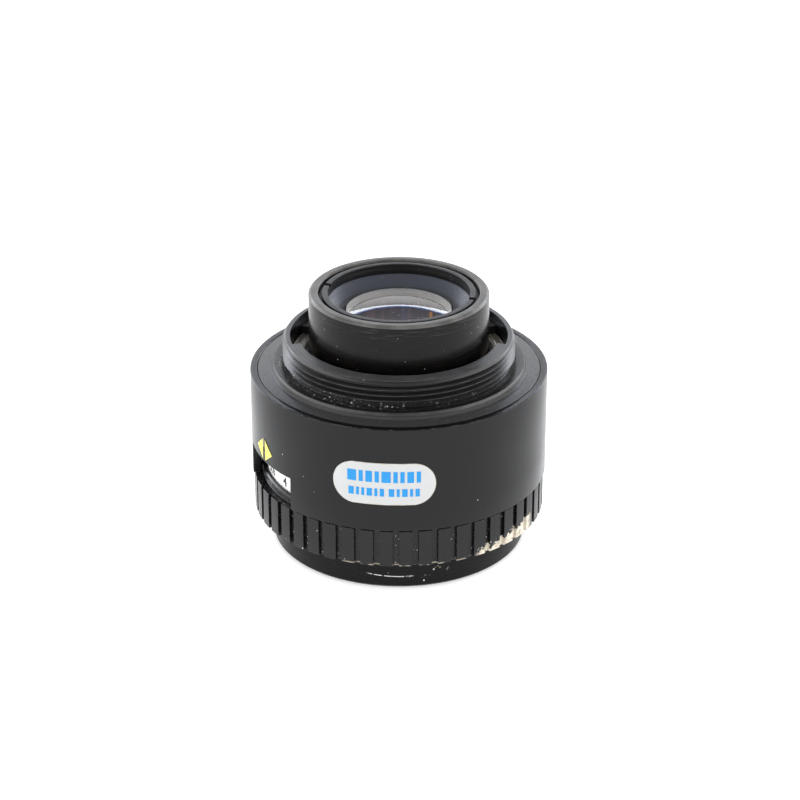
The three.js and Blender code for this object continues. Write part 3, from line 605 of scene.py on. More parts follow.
def black_front_ring():
    """Satin black front ring: turned wall, rubbed corner, a long scratch and crumbs of glue."""
    look = Finish("black_front_ring", (0.007, 0.007, 0.0076), 0.26, specular=0.12)
    marks = look.ring_marks(7.0)
    look.roughen(look.rises(marks, 0.35, 0.75), 0.44)
    worn = look.patches(0.5, 4.0, 0.44, 0.6)
    corner = look.band(look.height, 0.06, 0.42, 0.06)
    outside = look.rises(look.radius, FRONT - 0.5, FRONT - 0.3)
    look.paint(look.times(corner, outside, worn, 0.4), (0.07, 0.07, 0.07), 0.35)
    curve = look.scaled(look.times(look.x, look.x), 0.012, 2.1)
    offset = look.away(look.height, curve)
    stretch = look.band(look.azimuth, -103.5, -84.0, 1.5)
    uneven = look.patches(1.3, 2.0, 0.34, 0.46)
    scratch = look.times(look.rises(offset, 0.035, 0.1, 1, 0), stretch, uneven, outside)
    look.paint(scratch, (0.7, 0.7, 0.68), 0.7)
    drips = look.times(look.band(look.azimuth, -88.0, -68.0, 2.0), look.patches(0.8, 3.0, 0.6, 0.66))
    high = look.rises(look.height, 1.6, 3.2)
    look.paint(look.times(drips, high, outside, 0.85), (0.42, 0.37, 0.29), 0.8)
    glue_spot(look)
    look.paint(look.times(look.specks(1.5, 0.12, 0.3), outside), DUST, 0.8)
    look.paint(look.times(look.lint(0.5, 0.002, 0.2), 0.4), (0.28, 0.28, 0.27), 0.7)
    inside = look.rises(look.radius, FRONT - 1.3, FRONT - 1.1, 1, 0)
    look.roughen(inside, 0.6)
    look.raise_by(marks, 0.005)
    look.raise_by(look.noise(3.0, 3.0), 0.004)
    return look.done(0.6)


def black_mount():
    """The screw mount: satin black, with dust in its neck, thread crests and boss edge lighter from wear and
    partly from painted highlight, and painted light on its flat tops.
    """
    look = Finish("black_mount", (0.008, 0.008, 0.0085), 0.27, specular=0.34)
    marks = look.ring_marks(6.0)
    look.roughen(look.rises(marks, 0.35, 0.75), 0.36)
    wear = look.patches(0.45, 3.0, 0.38, 0.64)
    # thread crests painted lighter: worn anodising, and partly a painted highlight along each crest
    crest = look.rises(look.radius, THREAD - 0.1, THREAD - 0.02)
    on_thread = look.rises(look.height, BOSS_TOP + 0.6, BOSS_TOP + 0.9)
    look.paint(look.times(crest, on_thread, look.scaled(wear, 0.5, 0.25)), (0.09, 0.09, 0.094), 0.26)
    # boss edge painted lighter: worn, and partly a painted highlight along the edge
    boss = look.times(
        look.band(look.height, BOSS_TOP - 0.5, BOSS_TOP - 0.02, 0.06),
        look.rises(look.radius, 20.9, 21.05),
    )
    look.paint(look.times(boss, look.scaled(wear, 0.3, 0.25)), (0.07, 0.07, 0.07), 0.28)
    # painted light: the flat tops of the flange seat and of the rim are lighter all over
    painted_light_tops = look.most(
        look.band(look.height, COVER_TOP - 0.05, COVER_TOP + 0.5, 0.03),
        look.rises(look.height, RIM_TOP - 0.12, RIM_TOP - 0.02),
    )
    look.paint(look.times(painted_light_tops, 0.8), (0.05, 0.05, 0.051))
    rim = look.rises(look.height, RIM_TOP - 0.1, RIM_TOP - 0.02)
    look.paint(look.times(rim, look.scaled(wear, 0.35, 0.3)), (0.09, 0.09, 0.094), 0.34)
    neck = look.band(look.height, BOSS_TOP - 0.25, BOSS_TOP + 1.15, 0.1)
    near_neck = look.rises(look.radius, 20.6, 20.2)
    left = look.rises(look.x, 6.0, -10.0)
    share = look.scaled(left, 0.75, 0.25)
    grains = look.most(look.specks(0.55, 0.2, 0.5), look.specks(0.9, 0.2, 0.55))
    look.paint(look.times(neck, near_neck, share, grains), (0.7, 0.69, 0.66), 0.9)
    powder = look.times(neck, near_neck, look.patches(2.5, 4.0, 0.46, 0.75, rough=0.7), share)
    look.paint(look.times(powder, 0.35), (0.2, 0.195, 0.18), 0.9)
    look.paint(look.times(look.specks(1.3, 0.06, 0.4), 0.9), DUST, 0.85)
    scuff_radius = 22.3
    scuff = look.times(
        look.rises(look.away(look.radius, scuff_radius), 0.05, 0.25, 1, 0),
        look.band(look.azimuth, -52.0, -18.0, 5.0),
        look.patches(1.2, 3.0, 0.4, 0.6),
    )
    look.paint(look.times(scuff, 0.4), (0.2, 0.2, 0.2), 0.5)
    look.paint(look.times(look.lint(0.45, 0.002, 0.15), 0.4), (0.3, 0.3, 0.29), 0.7)
    look.raise_by(marks, 0.005)
    return look.done(0.6)


def black_rear_barrel():
    """Turned black barrel with a brownish cast, its chamfer and rim rubbed towards bare metal."""
    look = Finish("black_rear_barrel", (0.003, 0.0027, 0.0025), 0.18, specular=0.2)
    marks = look.ring_marks(4.5, 0.25)
    fine = look.ring_marks(13.0, 0.5)
    look.paint(look.rises(marks, 0.42, 0.75, 0, 0.5), (0.012, 0.0105, 0.0095))
    look.roughen(look.rises(fine, 0.35, 0.7), 0.28)
    wear = look.patches(0.3, 3.0, 0.36, 0.66)
    chamfer = look.rises(look.height, LENS_TOP - 0.5, LENS_TOP - 0.36)
    look.paint(look.times(chamfer, look.scaled(wear, 0.3, 0.5)), (0.18, 0.176, 0.168), 0.36)
    under = look.band(look.height, LENS_TOP - 2.4, LENS_TOP - 0.5, 0.3)
    outside = look.rises(look.radius, BARREL - 0.3, BARREL - 0.1)
    look.paint(look.times(under, outside, look.rises(marks, 0.5, 0.7), 0.35), (0.06, 0.055, 0.05))
    look.paint(look.times(look.specks(1.1, 0.07, 0.35), 0.9), DUST, 0.85)
    look.paint(look.times(look.lint(0.6, 0.002, 0.15), 0.4), (0.3, 0.3, 0.29), 0.7)
    look.raise_by(marks, 0.008)
    look.raise_by(fine, 0.004)
    return look.done(0.7)


def black_retaining_ring():
    """The spanner ring: turned, with its upper face lighter, partly worn in patches and partly painted light.
    """
    look = Finish("black_retaining_ring", (0.006, 0.006, 0.007), 0.36, specular=0.35)
    marks = look.ring_marks(9.0)
    look.roughen(look.rises(marks, 0.35, 0.7), 0.52)
    # upper face painted lighter: wear in patches, and partly painted light on the face that looks up
    top = look.rises(look.height, LENS_TOP - 0.32, LENS_TOP - 0.22)
    wear = look.patches(0.8, 3.0, 0.4, 0.62)
    look.paint(look.times(top, look.scaled(wear, 0.3, 0.4)), (0.035, 0.035, 0.038), 0.4)
    look.paint(look.specks(0.9, 0.08, 0.4), DUST, 0.85)
    look.raise_by(marks, 0.01)
    return look.done(0.7)


def blue_grey_cone():
    """The cone round the rear glass: blue-grey paint, and a dark dusty step at its foot."""
    look = Finish("blue_grey_cone", (0.06, 0.067, 0.09), 0.45, specular=0.5)
    marks = look.ring_marks(8.0)
    look.roughen(look.rises(marks, 0.35, 0.7), 0.62)
    flat = look.rises(look.height, RECESS_FLOOR + 0.95, RECESS_FLOOR + 0.75)
    look.paint(look.times(flat, 0.8), (0.013, 0.013, 0.014), 0.7)
    look.paint(look.times(look.noise(2.0, 4.0, 0.7), flat, 0.25), (0.2, 0.2, 0.19), 0.9)
    settled = look.times(flat, look.specks(0.4, 0.13, 0.5))
    look.paint(look.most(look.specks(0.7, 0.1, 0.4), settled), DUST, 0.85)
    look.raise_by(marks, 0.015)
    return look.done(0.8)


def matt_black():
    """Flat black inside the lens, with grey clouds and a little dust."""
    look = Finish("matt_black_inside", (0.012, 0.012, 0.012), 0.7, specular=0.35)
    marks = look.ring_marks(5.0)
    look.roughen(look.rises(marks, 0.3, 0.7), 0.82)
    look.paint(look.times(look.specks(0.9, 0.08, 0.4), 0.7), (0.35, 0.34, 0.32), 0.9)
    look.paint(look.patches(0.6, 4.0, 0.5, 0.8, 0.4), (0.035, 0.034, 0.033))
    look.raise_by(marks, 0.02)
    return look.done(0.8)


def cap_black_plastic():
    look = Finish("cap_black_plastic", (0.02, 0.02, 0.021), 0.45, specular=0.5)
    grain = look.noise(6.0, 3.0)
    look.roughen(look.rises(grain, 0.4, 0.7), 0.6)
    look.paint(look.specks(0.8, 0.1, 0.4), DUST, 0.85)
    look.raise_by(grain, 0.015)
    return look.done(0.7)


def label_paper():
    """White film with a soft gloss, yellowed and picked up a little round its edge."""
    look = Finish("label_film", (0.54, 0.55, 0.55), 0.42, specular=0.4)
    turn = look.math("SUBTRACT", look.azimuth, LABEL)
    along = look.math("ABSOLUTE", look.times(turn, math.radians(BODY)))
    low, high = span_of("label")
    middle = (low + high) / 2
    half_height = (high - low) / 2
    up = look.math("SUBTRACT", look.height, middle)
    past = look.math("MAXIMUM", look.math("SUBTRACT", along, LABEL_WIDTH / 2 - half_height), 0.0)
    out = look.math("SQRT", look.math("ADD", look.times(past, past), look.times(up, up)))
    edge = look.rises(out, half_height - 0.22, half_height - 0.02)
    grubby = look.patches(1.1, 4.0, 0.38, 0.6)
    look.paint(look.times(edge, grubby, 0.75), (0.4, 0.33, 0.25), 0.7)
    fringe = look.rises(out, half_height - 0.9, half_height)
    look.paint(look.times(fringe, look.noise(0.8, 3.0), 0.22), (0.66, 0.6, 0.5))
    look.paint(look.patches(0.3, 3.0, 0.4, 0.75, 0.12), (0.68, 0.7, 0.72))
    look.roughen(look.patches(1.5, 3.0, 0.4, 0.7), 0.52)
    look.raise_by(look.noise(1.2, 2.0), 0.01)
    return look.done(0.6)


def printed(name, colour, roughness, patches, gloss, grain):
    """Thin printing: its colour is uneven in patches, and its gloss and relief vary a little."""
    look = Finish(name, colour, roughness, specular=0.4)
    for scale, low, high, share, tint in patches:
        look.paint(look.patches(scale, 3.0, low, high, share), tint)
    gloss_scale, rougher = gloss
    look.roughen(look.noise(gloss_scale, 2.0), rougher)
    grain_scale, height = grain
    look.raise_by(look.noise(grain_scale, 2.0), height)
    return look.done(0.5)


def blue_print():
    thin = (2.5, 0.5, 0.8, 0.25, (0.08, 0.36, 0.7))
    return printed("blue_print", (0.008, 0.26, 0.64), 0.42, [thin], (3.0, 0.5), (8.0, 0.004))


def yellow_print():
    pale = (1.6, 0.4, 0.7, 0.35, (0.8, 0.76, 0.3))
    grubby = (4.0, 0.62, 0.75, 0.4, (0.5, 0.45, 0.15))
    return printed("yellow_print", (0.72, 0.66, 0.12), 0.45, [pale, grubby], (3.0, 0.52), (7.0, 0.006))


def black_print():
    thin = (5.0, 0.55, 0.8, 0.3, (0.08, 0.08, 0.08))
    return printed("black_print", (0.012, 0.012, 0.012), 0.45, [thin], (4.0, 0.55), (9.0, 0.004))


def grey_print():
    dark = (3.0, 0.45, 0.75, 0.4, (0.3, 0.3, 0.3))
    return printed("grey_print", (0.45, 0.46, 0.46), 0.45, [dark], (4.0, 0.55), (9.0, 0.004))


def white_scale():
    look = Finish("white_scale", (0.78, 0.79, 0.78), 0.4, specular=0.45)
    look.paint(look.patches(0.7, 4.0, 0.45, 0.7, 0.3), (0.6, 0.59, 0.55))
    look.paint(look.specks(0.9, 0.09, 0.35), (0.16, 0.15, 0.14), 0.8)
    look.roughen(look.noise(2.0, 3.0), 0.5)
    look.raise_by(look.noise(5.0, 2.0), 0.006)
    return look.done(0.5)


def beige_light_guide():
    """Clear plastic gone beige, with turned bands and a film of dust."""
    look = Finish("beige_light_guide", (0.4, 0.37, 0.31), 0.3, specular=0.5)
    look.set("Transmission Weight", 0.25)
    bands = look.ring_marks(2.4, 0.1)
    look.paint(look.rises(bands, 0.4, 0.65, 0, 0.5), (0.27, 0.24, 0.19))
    look.paint(look.patches(1.2, 4.0, 0.5, 0.75, 0.5), (0.62, 0.57, 0.48), 0.6)
    look.paint(look.specks(0.6, 0.1, 0.35), DUST, 0.9)
    look.raise_by(bands, 0.05)
    return look.done(0.8)


def coated_glass(name, dusty):
    """Coated glass with a faint bluish reflection and, on the outside, dust."""
    look = Finish(name, (0.92, 0.95, 1.0), 0.015, specular=0.5)
    look.set("Transmission Weight", 1.0)
    look.set("IOR", 1.6)
    look.set("Specular Tint", (0.75, 0.8, 1.0, 1))
    film = look.patches(0.25, 3.0, 0.45, 0.75)
    look.roughen(look.times(film, 0.5), 0.06)
    if dusty:
        look.paint(look.specks(0.8, 0.07, 0.3), DUST, 0.8)
    look.raise_by(look.noise(0.5, 1.0), 0.0005)
    return look.done(0.3)


def bloomed_glass():
    """The rear glass: it bends light hardly at all, so its coat alone mirrors the room, and dust
    lies on it."""
    look = Finish("bloomed_glass", (0.9, 0.92, 1.0), 0.01, specular=0.1)
    look.set("Transmission Weight", 1.0)
    look.set("IOR", 1.02)
    look.set("Coat Weight", 1.0)
    look.set("Coat Roughness", 0.03)
    look.set("Coat IOR", 1.6)
    look.paint(look.specks(1.1, 0.12, 0.3), (0.8, 0.78, 0.74), 0.8)
    film = look.patches(0.25, 3.0, 0.45, 0.75)
    look.roughen(look.times(film, 0.5), 0.05)
    look.raise_by(look.noise(0.5, 1.0), 0.0005)
    return look.done(0.3)


def ground_edge():
    """The frosted edge of the rear glass, with a painted glow, as if light fell into it, and a painted
    lighter band at its top.
    """
    look = Finish("ground_glass_edge_painted_glow", (0.93, 0.9, 0.83), 0.55, specular=0.5)
    # painted light: the top of the edge is lighter
    top = look.rises(look.height, LENS_TOP - 3.75, LENS_TOP - 3.5)
    look.paint(look.times(top, 0.6), (1.0, 0.98, 0.93))
    look.paint(look.patches(0.6, 3.0, 0.4, 0.7, 0.3), (0.6, 0.58, 0.52))
    look.roughen(look.noise(3.0, 2.0), 0.7)
    look.raise_by(look.noise(6.0, 2.0), 0.01)
    # painted glow: emission stands in for light scattered inside the glass
    look.set("Emission Color", (1, 0.96, 0.86, 1))
    look.set("Emission Strength", 0.1)
    return look.done(0.5)


def painted_depth():
    """A dark disc inside the rear glass: painted shade for the depth of the lens, with streaks and glints
    painted as reflections of the coatings below.
    """
    look = Finish("painted_shade_and_glints_depth", (0.026, 0.017, 0.015), 0.35, specular=0.2)
    across = look.vector(look.math("MULTIPLY", look.x, 0.9), look.math("MULTIPLY", look.y, 0.05), 0.0)
    # painted reflections: soft streaks across the disc
    painted_streak = look.noise(1.0, 2.0, 0.5, across)
    look.paint(look.rises(painted_streak, 0.45, 0.68, 0, 0.8), (0.07, 0.045, 0.048))
    orange_place = 5.3
    reach = look.times(look.rises(look.y, 2.5, 1.5), look.rises(look.y, -6.0, -3.5))
    orange = look.rises(look.away(look.x, orange_place), 0.1, 0.4, 1, 0)
    look.paint(look.times(orange, reach, 0.8), (0.6, 0.23, 0.05))
    for place, tint in ((0.8, (0.04, 0.04, 0.12)), (-4.8, (0.13, 0.05, 0.06))):
        glint = look.rises(look.away(look.x, place), 0.1, 0.9, 1, 0)
        look.paint(look.times(glint, 0.35), tint)
    look.paint(look.specks(0.8, 0.12, 0.4), (0.8, 0.78, 0.75), 0.6)
    look.raise_by(look.noise(0.4, 2.0), 0.001)
    return look.done(0.4)


def turned_brass():
    look = Finish("turned_brass", (0.5, 0.36, 0.15), 0.32, metallic=1.0)
    marks = look.ring_marks(5.0)
    look.paint(look.patches(0.8, 4.0, 0.45, 0.75, 0.5), (0.3, 0.2, 0.09))
    look.roughen(look.rises(marks, 0.35, 0.7), 0.46)
    look.raise_by(marks, 0.012)
    return look.done(0.7)


def bright_steel():
    look = Finish("bright_steel", (0.55, 0.55, 0.56), 0.25, metallic=1.0)
    brush = look.noise(6.0, 3.0)
    look.paint(look.patches(1.2, 4.0, 0.5, 0.8, 0.4), (0.3, 0.29, 0.28))
    look.roughen(look.rises(brush, 0.35, 0.7), 0.42)
    look.raise_by(brush, 0.006)
    return look.done(0.6)


def blackened_blade():
    look = Finish("blackened_blade", (0.03, 0.03, 0.032), 0.42, metallic=0.6, specular=0.5)
    sweep = look.noise(2.2, 3.0)
    look.paint(look.rises(sweep, 0.5, 0.75, 0, 0.5), (0.09, 0.09, 0.095))
    look.roughen(look.patches(5.0, 3.0, 0.35, 0.7), 0.55)
    look.raise_by(sweep, 0.008)
    return look.done(0.6)


# ---------------------------------------------------------------- outer pieces

COVER_BLACK = satin_black_cover()
RING_BLACK = ribbed_black()
FRONT_BLACK = black_front_ring()
MOUNT_BLACK = black_mount()
BARREL_BLACK = black_rear_barrel()
RETAINER_BLACK = black_retaining_ring()
CONE_GREY = blue_grey_cone()
INSIDE_BLACK = matt_black()
CAP_BLACK = cap_black_plastic()
LABEL_WHITE = label_paper()
SCALE_WHITE = white_scale()
INK_BLACK = black_print()


def front_ring():
    """The ring that the lens stands on, with a filter thread and a stepped funnel inside."""
    filter_wall = 20.35
    funnel_low = 4.0
    funnel_high = 6.2
    throat = 12.4
    ledge = 19.6
    spigot = 20.3
    counterbore = 15.5
    spigot_top = top_of("front_ring")
    cell_seat = spigot_top - 1.8
    corner = 0.4
    step_count = 9
    lead = 0.12
    droop = 0.02
    stairs = []
    for i in range(step_count):
        inner = throat + (ledge - throat) * i / step_count
        outer = throat + (ledge - throat) * (i + 1) / step_count
        height = funnel_high - (funnel_high - funnel_low) * i / step_count
        stairs += [(inner + lead, height), (outer, height - droop)]
    outline = [
        (filter_wall, 0), (FRONT - corner, 0), (FRONT, corner), (FRONT, FRONT_TOP), (spigot, FRONT_TOP),
        (spigot, spigot_top), (counterbore, spigot_top), (counterbore, cell_seat), (throat, cell_seat),
        (throat, funnel_high + 0.1), *stairs, (ledge, funnel_low), (filter_wall, funnel_low),
    ]
    body = turned(outline, soften=0.08)
    root = filter_wall + 0.1
    crest = 20.05
    ridge = [(root, 0.35), (crest, 0.58), (crest, 0.64), (root, 0.87)]
    thread = helix(ridge, start=20, turns=3, fade=40, root=root)
    piece("front_ring_body", merged(body, thread), FRONT_BLACK, node="front_ring")


def ribbed_ring():
    """The aperture ring: 48 ribs with square grooves between them, and the scale's shoulder above."""
    bore = 20.6
    ledge = 19.0
    chamfer = 0.3
    step = SHOULDER_TOP - chamfer
    seat = SCALE_RADIUS + 0.1
    web = RIB_TOP + 0.2
    outline = [
        (bore, RING_BOTTOM), (RIB_CREST, RING_BOTTOM), (RIB_CREST, RIB_TOP), (SHOULDER, RIB_TOP),
        (SHOULDER, step), (SHOULDER - chamfer, SHOULDER_TOP), (seat, SHOULDER_TOP), (seat, step),
        (ledge, step), (ledge, web), (bore, web),
    ]
    mesh = bmesh.new()
    pitch = 360 / RIB_COUNT
    side = 0.14
    crest = pitch - GROOVE - 2 * side
    points, edges = outline_wire(mesh, outline, 0.09, azimuth=RIB_PHASE - GROOVE / 2)
    last = points + edges
    for _ in range(RIB_COUNT):
        for degrees, steps in ((GROOVE, 2), (side, 1), (crest, 3), (side, 1)):
            last = spin(mesh, last, degrees, steps)
    close_up(mesh)
    for vert in mesh.verts:
        if radius_at(vert.co) < RIB_ROOT or vert.co.z / MM > RIB_TOP + 0.01:
            continue
        along = (azimuth_of(vert.co) - RIB_PHASE + pitch / 2) % pitch - pitch / 2
        if abs(along) < GROOVE / 2 + side / 2:
            scale_across(vert, RIB_ROOT / radius_at(vert.co))
    close_up(mesh)
    piece("aperture_ring_ribbed", mesh, RING_BLACK, "aperture_control", "aperture_ring")


def cover_shell():
    """The cover: a thin tube with a window over the scale and a slot for the lever."""
    lip = COVER_BORE - 1.2
    lip_top = COVER_TOP - 1.55
    lip_bottom = lip_top - 0.95
    outline = [
        (COVER_BORE, COVER_BOTTOM), (BODY, COVER_BOTTOM), (BODY, COVER_TOP), (COVER_BORE, COVER_TOP),
        (COVER_BORE, lip_top), (lip, lip_top), (lip, lip_bottom), (COVER_BORE, lip_bottom),
    ]
    mesh = turned(outline, soften=0.13)
    cut_columns(mesh, (*WINDOW, *LEVER_SLOT), (WINDOW_TOP, SLOT_BOTTOM, SLOT_TOP))
    middle = (BODY + COVER_BORE) / 2
    open_wall(mesh, WINDOW, COVER_BOTTOM - 1, WINDOW_TOP, middle)
    open_wall(mesh, LEVER_SLOT, SLOT_BOTTOM, SLOT_TOP, middle)
    piece("cover_shell_tube", mesh, COVER_BLACK, node="cover_shell")


def label():
    """A white film with round ends, printed with plain blue bars."""
    low, high = span_of("label")
    middle = (high + low) / 2
    film = pill(LABEL_WIDTH, high - low, 0.08)
    lift(film, middle)
    wrap(film, LABEL, BODY + PROUD)
    piece("label_film", film, LABEL_WHITE, node="label")
    upper = [1.5, 0.7, 1.1, 0.7, 1.5, 0.7, 0.7, 1.1, 0.7]
    lower = [0.9, 0.5, 0.5, 0.9, 0.5, 0.7, 0.0, 0.9, 0.5, 0.9, 0.5, 0.7]
    bars = []
    for foot, tall, gap, row in ((middle + 0.3, 2.0, 0.42, upper), (middle - 2.2, 1.4, 0.38, lower)):
        x = -(sum(row) + gap * (len(row) - 1)) / 2
        for long in row:
            if long:
                bars.append(bar(x, foot, long, tall, INK))
            x += long + gap
    on_film = BODY + 0.115
    piece("label_print", wrap(merged(*bars), LABEL, on_film), blue_print(), smooth=False)


def index_mark():
    """The diamond over the window: two yellow halves on either side of a black line."""
    half = 2.84
    rise = 2.1
    low, high = span_of("index_mark")
    waist = low + rise
    slot = 0.42
    thin = 0.07
    tip_half = 0.09
    lower = low + slot * rise / half
    upper = high - slot * (high - waist) / half
    right = flat_polygon([(slot, lower), (half, waist), (slot, upper)], thin, half)
    left = flat_polygon([(-slot, upper), (-half, waist), (-slot, lower)], thin, half)
    halves = wrap(merged(right, left), INDEX, BODY + PROUD)
    piece("index_mark_halves", halves, yellow_print(), node="index_mark", smooth=False)
    line = wrap(bar(-slot, lower, 2 * slot, rise - slot, thin), INDEX, BODY + 0.025)
    piece("index_mark_slot", line, INK_BLACK, smooth=False)
    tip = wrap(bar(-tip_half, waist + 0.6, 2 * tip_half, high - waist - 0.7, thin), INDEX, BODY + PROUD)
    piece("index_mark_line", tip, grey_print(), smooth=False)


def aperture_scale():
    """The white scale that turns behind the window, with the f-numbers printed on it."""
    bore = SCALE_RADIUS - 1.2
    band = turned(box_outline(bore, SCALE_RADIUS, SCALE_BOTTOM, SCALE_TOP), 0.1, columns=FINE_COLUMNS)
    piece("aperture_scale_band", band, SCALE_WHITE, "aperture_control", "aperture_scale")
    first_stop = -134.0  # degrees, where 2.8 stands at rest
    stop_step = 13.5
    number_height = SCALE_BOTTOM + 1.5
    tick_foot = SCALE_BOTTOM + 2.9
    tick_half = 0.09
    numbers = []
    for i, text in enumerate(("2.8", "4", "5.6", "8", "11", "16")):
        place = first_stop - stop_step * i
        flat = numeral(text, 2.4, INK)
        lift(flat, number_height)
        numbers.append(wrap(flat, place, SCALE_RADIUS + 0.005))
        tick = bar(-tick_half, tick_foot, 2 * tick_half, 1.2, INK)
        numbers.append(wrap(tick, place, SCALE_RADIUS + 0.005))
    whole = merged(*numbers)
    piece("aperture_numbers", whole, INK_BLACK, "aperture_control", smooth=False)


def click_lever():
    """The small lever that switches the click stops, with ribs for a finger. Its plate covers the
    slot at both ends of the lever's travel."""
    knob_half = 4.3
    rest = LEVER_SLOT[1] - knob_half - 1.7
    travel = 14
    margin = 1.5
    plate_start = LEVER_SLOT[0] - margin
    plate_end = LEVER_SLOT[1] + travel + margin
    outer = COVER_BORE - 0.2
    low, high = span_of("click_lever")
    knob_low = SLOT_BOTTOM + 0.4
    knob_high = SLOT_TOP - 0.4
    face = BODY + 0.42
    rib_crest = BODY + 0.7
    plate = arc_piece(box_outline(outer - 0.65, outer, low, high), plate_start, plate_end)
    knob_outline = box_outline(outer - 0.3, face, knob_low, knob_high)
    shells = [plate, arc_piece(knob_outline, rest - knob_half, rest + knob_half, 0.15, 0.8)]
    rib = [
        (face - 0.1, knob_low + 0.2), (rib_crest, knob_low + 0.35),
        (rib_crest, knob_high - 0.35), (face - 0.1, knob_high - 0.2),
    ]
    for i in range(6):
        start = rest - 3.7 + i * 1.3
        shells.append(arc_piece(rib, start, start + 0.75, 0.05, 0.4))
    whole = merged(*shells)
    piece("click_lever_knob", whole, CAP_BLACK, "click_stop_lever", "click_lever")


# ---------------------------------------------------------------- mount and rear end


def mount_flange():
    """The flange with its seat, neck, 39 mm thread and the half lip inside its rim."""
    low = bottom_of("mount_flange")
    bore = BARREL + 0.3
    root = THREAD - 0.6
    under_root = root - 0.1
    skirt = 22.4
    skirt_top = COVER_TOP - 1.5
    rim = COVER_BORE - 0.1
    seat = 21.4
    outline = [
        (bore, low), (skirt, low), (skirt, skirt_top), (rim, skirt_top), (rim, COVER_TOP),
        (seat, COVER_TOP), (seat, COVER_TOP + 0.45), (seat - 0.3, BOSS_TOP), (THREAD + 0.1, BOSS_TOP),
        (THREAD + 0.1, BOSS_TOP - 0.1), (under_root, BOSS_TOP - 0.1), (under_root, BOSS_TOP + 0.9),
        (root, BOSS_TOP + 1.0), (root, RIM_TOP - 0.65), (THREAD - 0.2, RIM_TOP - 0.55), (root + 0.1, RIM_TOP),
        (MOUNT_BORE, RIM_TOP), (MOUNT_BORE, ANNULUS_FLOOR), (bore, ANNULUS_FLOOR),
    ]
    body = turned(outline, 0.06)
    foot = BOSS_TOP + 0.3
    tooth = [
        (under_root, foot), (THREAD - 0.06, foot + 0.42), (THREAD, foot + 0.46),
        (THREAD, foot + 0.52), (THREAD - 0.06, foot + 0.56), (under_root, foot + 0.97),
    ]
    thread = helix(tooth, start=-240, turns=3.35, fade=60, root=under_root, steps=180)
    lip = box_outline(16.7, MOUNT_BORE + 0.1, RIM_TOP - 3.2, RIM_TOP - 0.004)
    half = arc_piece(lip, -166, -14, 0.08)
    whole = merged(body, thread, half)
    piece("mount_flange_body", whole, MOUNT_BLACK, node="mount_flange")


def light_guide():
    """The clear ring that gathers light under the rim, with a leg down to the scale."""
    low = ANNULUS_FLOOR + 0.05
    top = low + 2.0
    bore, rim = 16.0, 18.0
    outline = [
        (bore, low), (rim, low), (rim, top), (17.6, top), (17.5, top - 0.25), (17.1, top - 0.25), (17.0, top),
        (16.7, top), (16.6, top - 0.2), (16.3, top - 0.2), (bore, top),
    ]
    ring = turned(outline, 0.06)
    foot = bottom_of("light_guide")
    knee = foot + 6.0
    sole = knee - 1.6
    window_side = 20.9
    leg_half = math.degrees(2.4 / 17.0)
    shelf_half = 6.5
    leg = arc_piece(box_outline(16.3, 17.7, sole, low + 0.4), INDEX - leg_half, INDEX + leg_half)
    shelf = arc_piece(box_outline(17.2, window_side, sole, knee), INDEX - shelf_half, INDEX + shelf_half)
    pane = box_outline(window_side - 1, window_side, foot, knee - 1.2)
    face = arc_piece(pane, INDEX - shelf_half, INDEX + shelf_half)
    whole = merged(ring, leg, shelf, face)
    piece("light_guide_ring", whole, beige_light_guide(), node="light_guide")


def light_guide_cap():
    """The black cover over the rear half of the light guide, with a stepped inner edge."""
    low, high = span_of("light_guide_cap")
    outer = MOUNT_BORE - 0.1
    bore, step = 16.0, 16.6
    step_low = high - 0.35
    outline = [(bore, low), (outer, low), (outer, high), (step, high), (step, step_low), (bore, step_low)]
    cap = arc_piece(outline, 24, 156, 0.08)
    piece("light_guide_cap_arc", cap, CAP_BLACK, node="light_guide_cap")


def rear_barrel():
    """The rear cell's tube, which steps in below the flange to hold the cemented pair."""
    low = bottom_of("rear_barrel")
    shelf = bottom_of("mount_flange")
    pair_seat = 26.77
    throat = 8.2
    pair_bore = 9.95
    neck = 13.7
    outline = [
        (throat, low), (neck, low), (neck, shelf), (BARREL, shelf), (BARREL, LENS_TOP - 0.4),
        (BARREL - 0.4, LENS_TOP), (RIM_BORE + 0.12, LENS_TOP), (RIM_BORE, LENS_TOP - 0.12),
        (RIM_BORE, RECESS_FLOOR), (pair_bore, RECESS_FLOOR), (pair_bore, pair_seat), (throat, pair_seat),
    ]
    piece("rear_barrel_tube", turned(outline, 0.07), BARREL_BLACK, node="rear_barrel")


def rear_baffle():
    """The cone that slopes down to the rear glass."""
    low = RECESS_FLOOR + 0.05
    top = top_of("rear_baffle")
    bore = 9.1
    rim = RIM_BORE - 0.1
    outline = [
        (bore, low), (rim, low), (rim, top), (11.95, top), (11.85, top - 0.1),
        (10.2, RECESS_FLOOR + 0.85), (bore, RECESS_FLOOR + 0.6),
    ]
    piece("rear_baffle_cone", turned(outline, 0.05), CONE_GREY, node="rear_baffle")


def rear_retaining_ring():
    """A threaded ring with two slots for a spanner."""
    low, top = span_of("rear_retaining_ring")
    bore = RIM_BORE - 1.6
    head = RIM_BORE - 0.65
    rim = RIM_BORE - 0.1
    threaded = low + 0.9
    slot_floor = top - 0.6
    outline = [
        (bore, low), (rim, low), (rim, threaded), (head, threaded), (head, slot_floor), (bore, slot_floor),
    ]
    foot = turned(outline, 0.06)
    gap = math.degrees(0.5 / head)
    crown = box_outline(bore, head, slot_floor - 0.1, top)
    halves = [arc_piece(crown, start + gap, start + 180 - gap, 0.09) for start in (-14, 166)]
    whole = merged(foot, *halves)
    piece("rear_retaining_ring_body", whole, RETAINER_BLACK, node="rear_retaining_ring")


# ---------------------------------------------------------------- glass and cells


def sag(curve, radius):
    return curve - math.copysign(math.sqrt(curve * curve - radius * radius), curve)


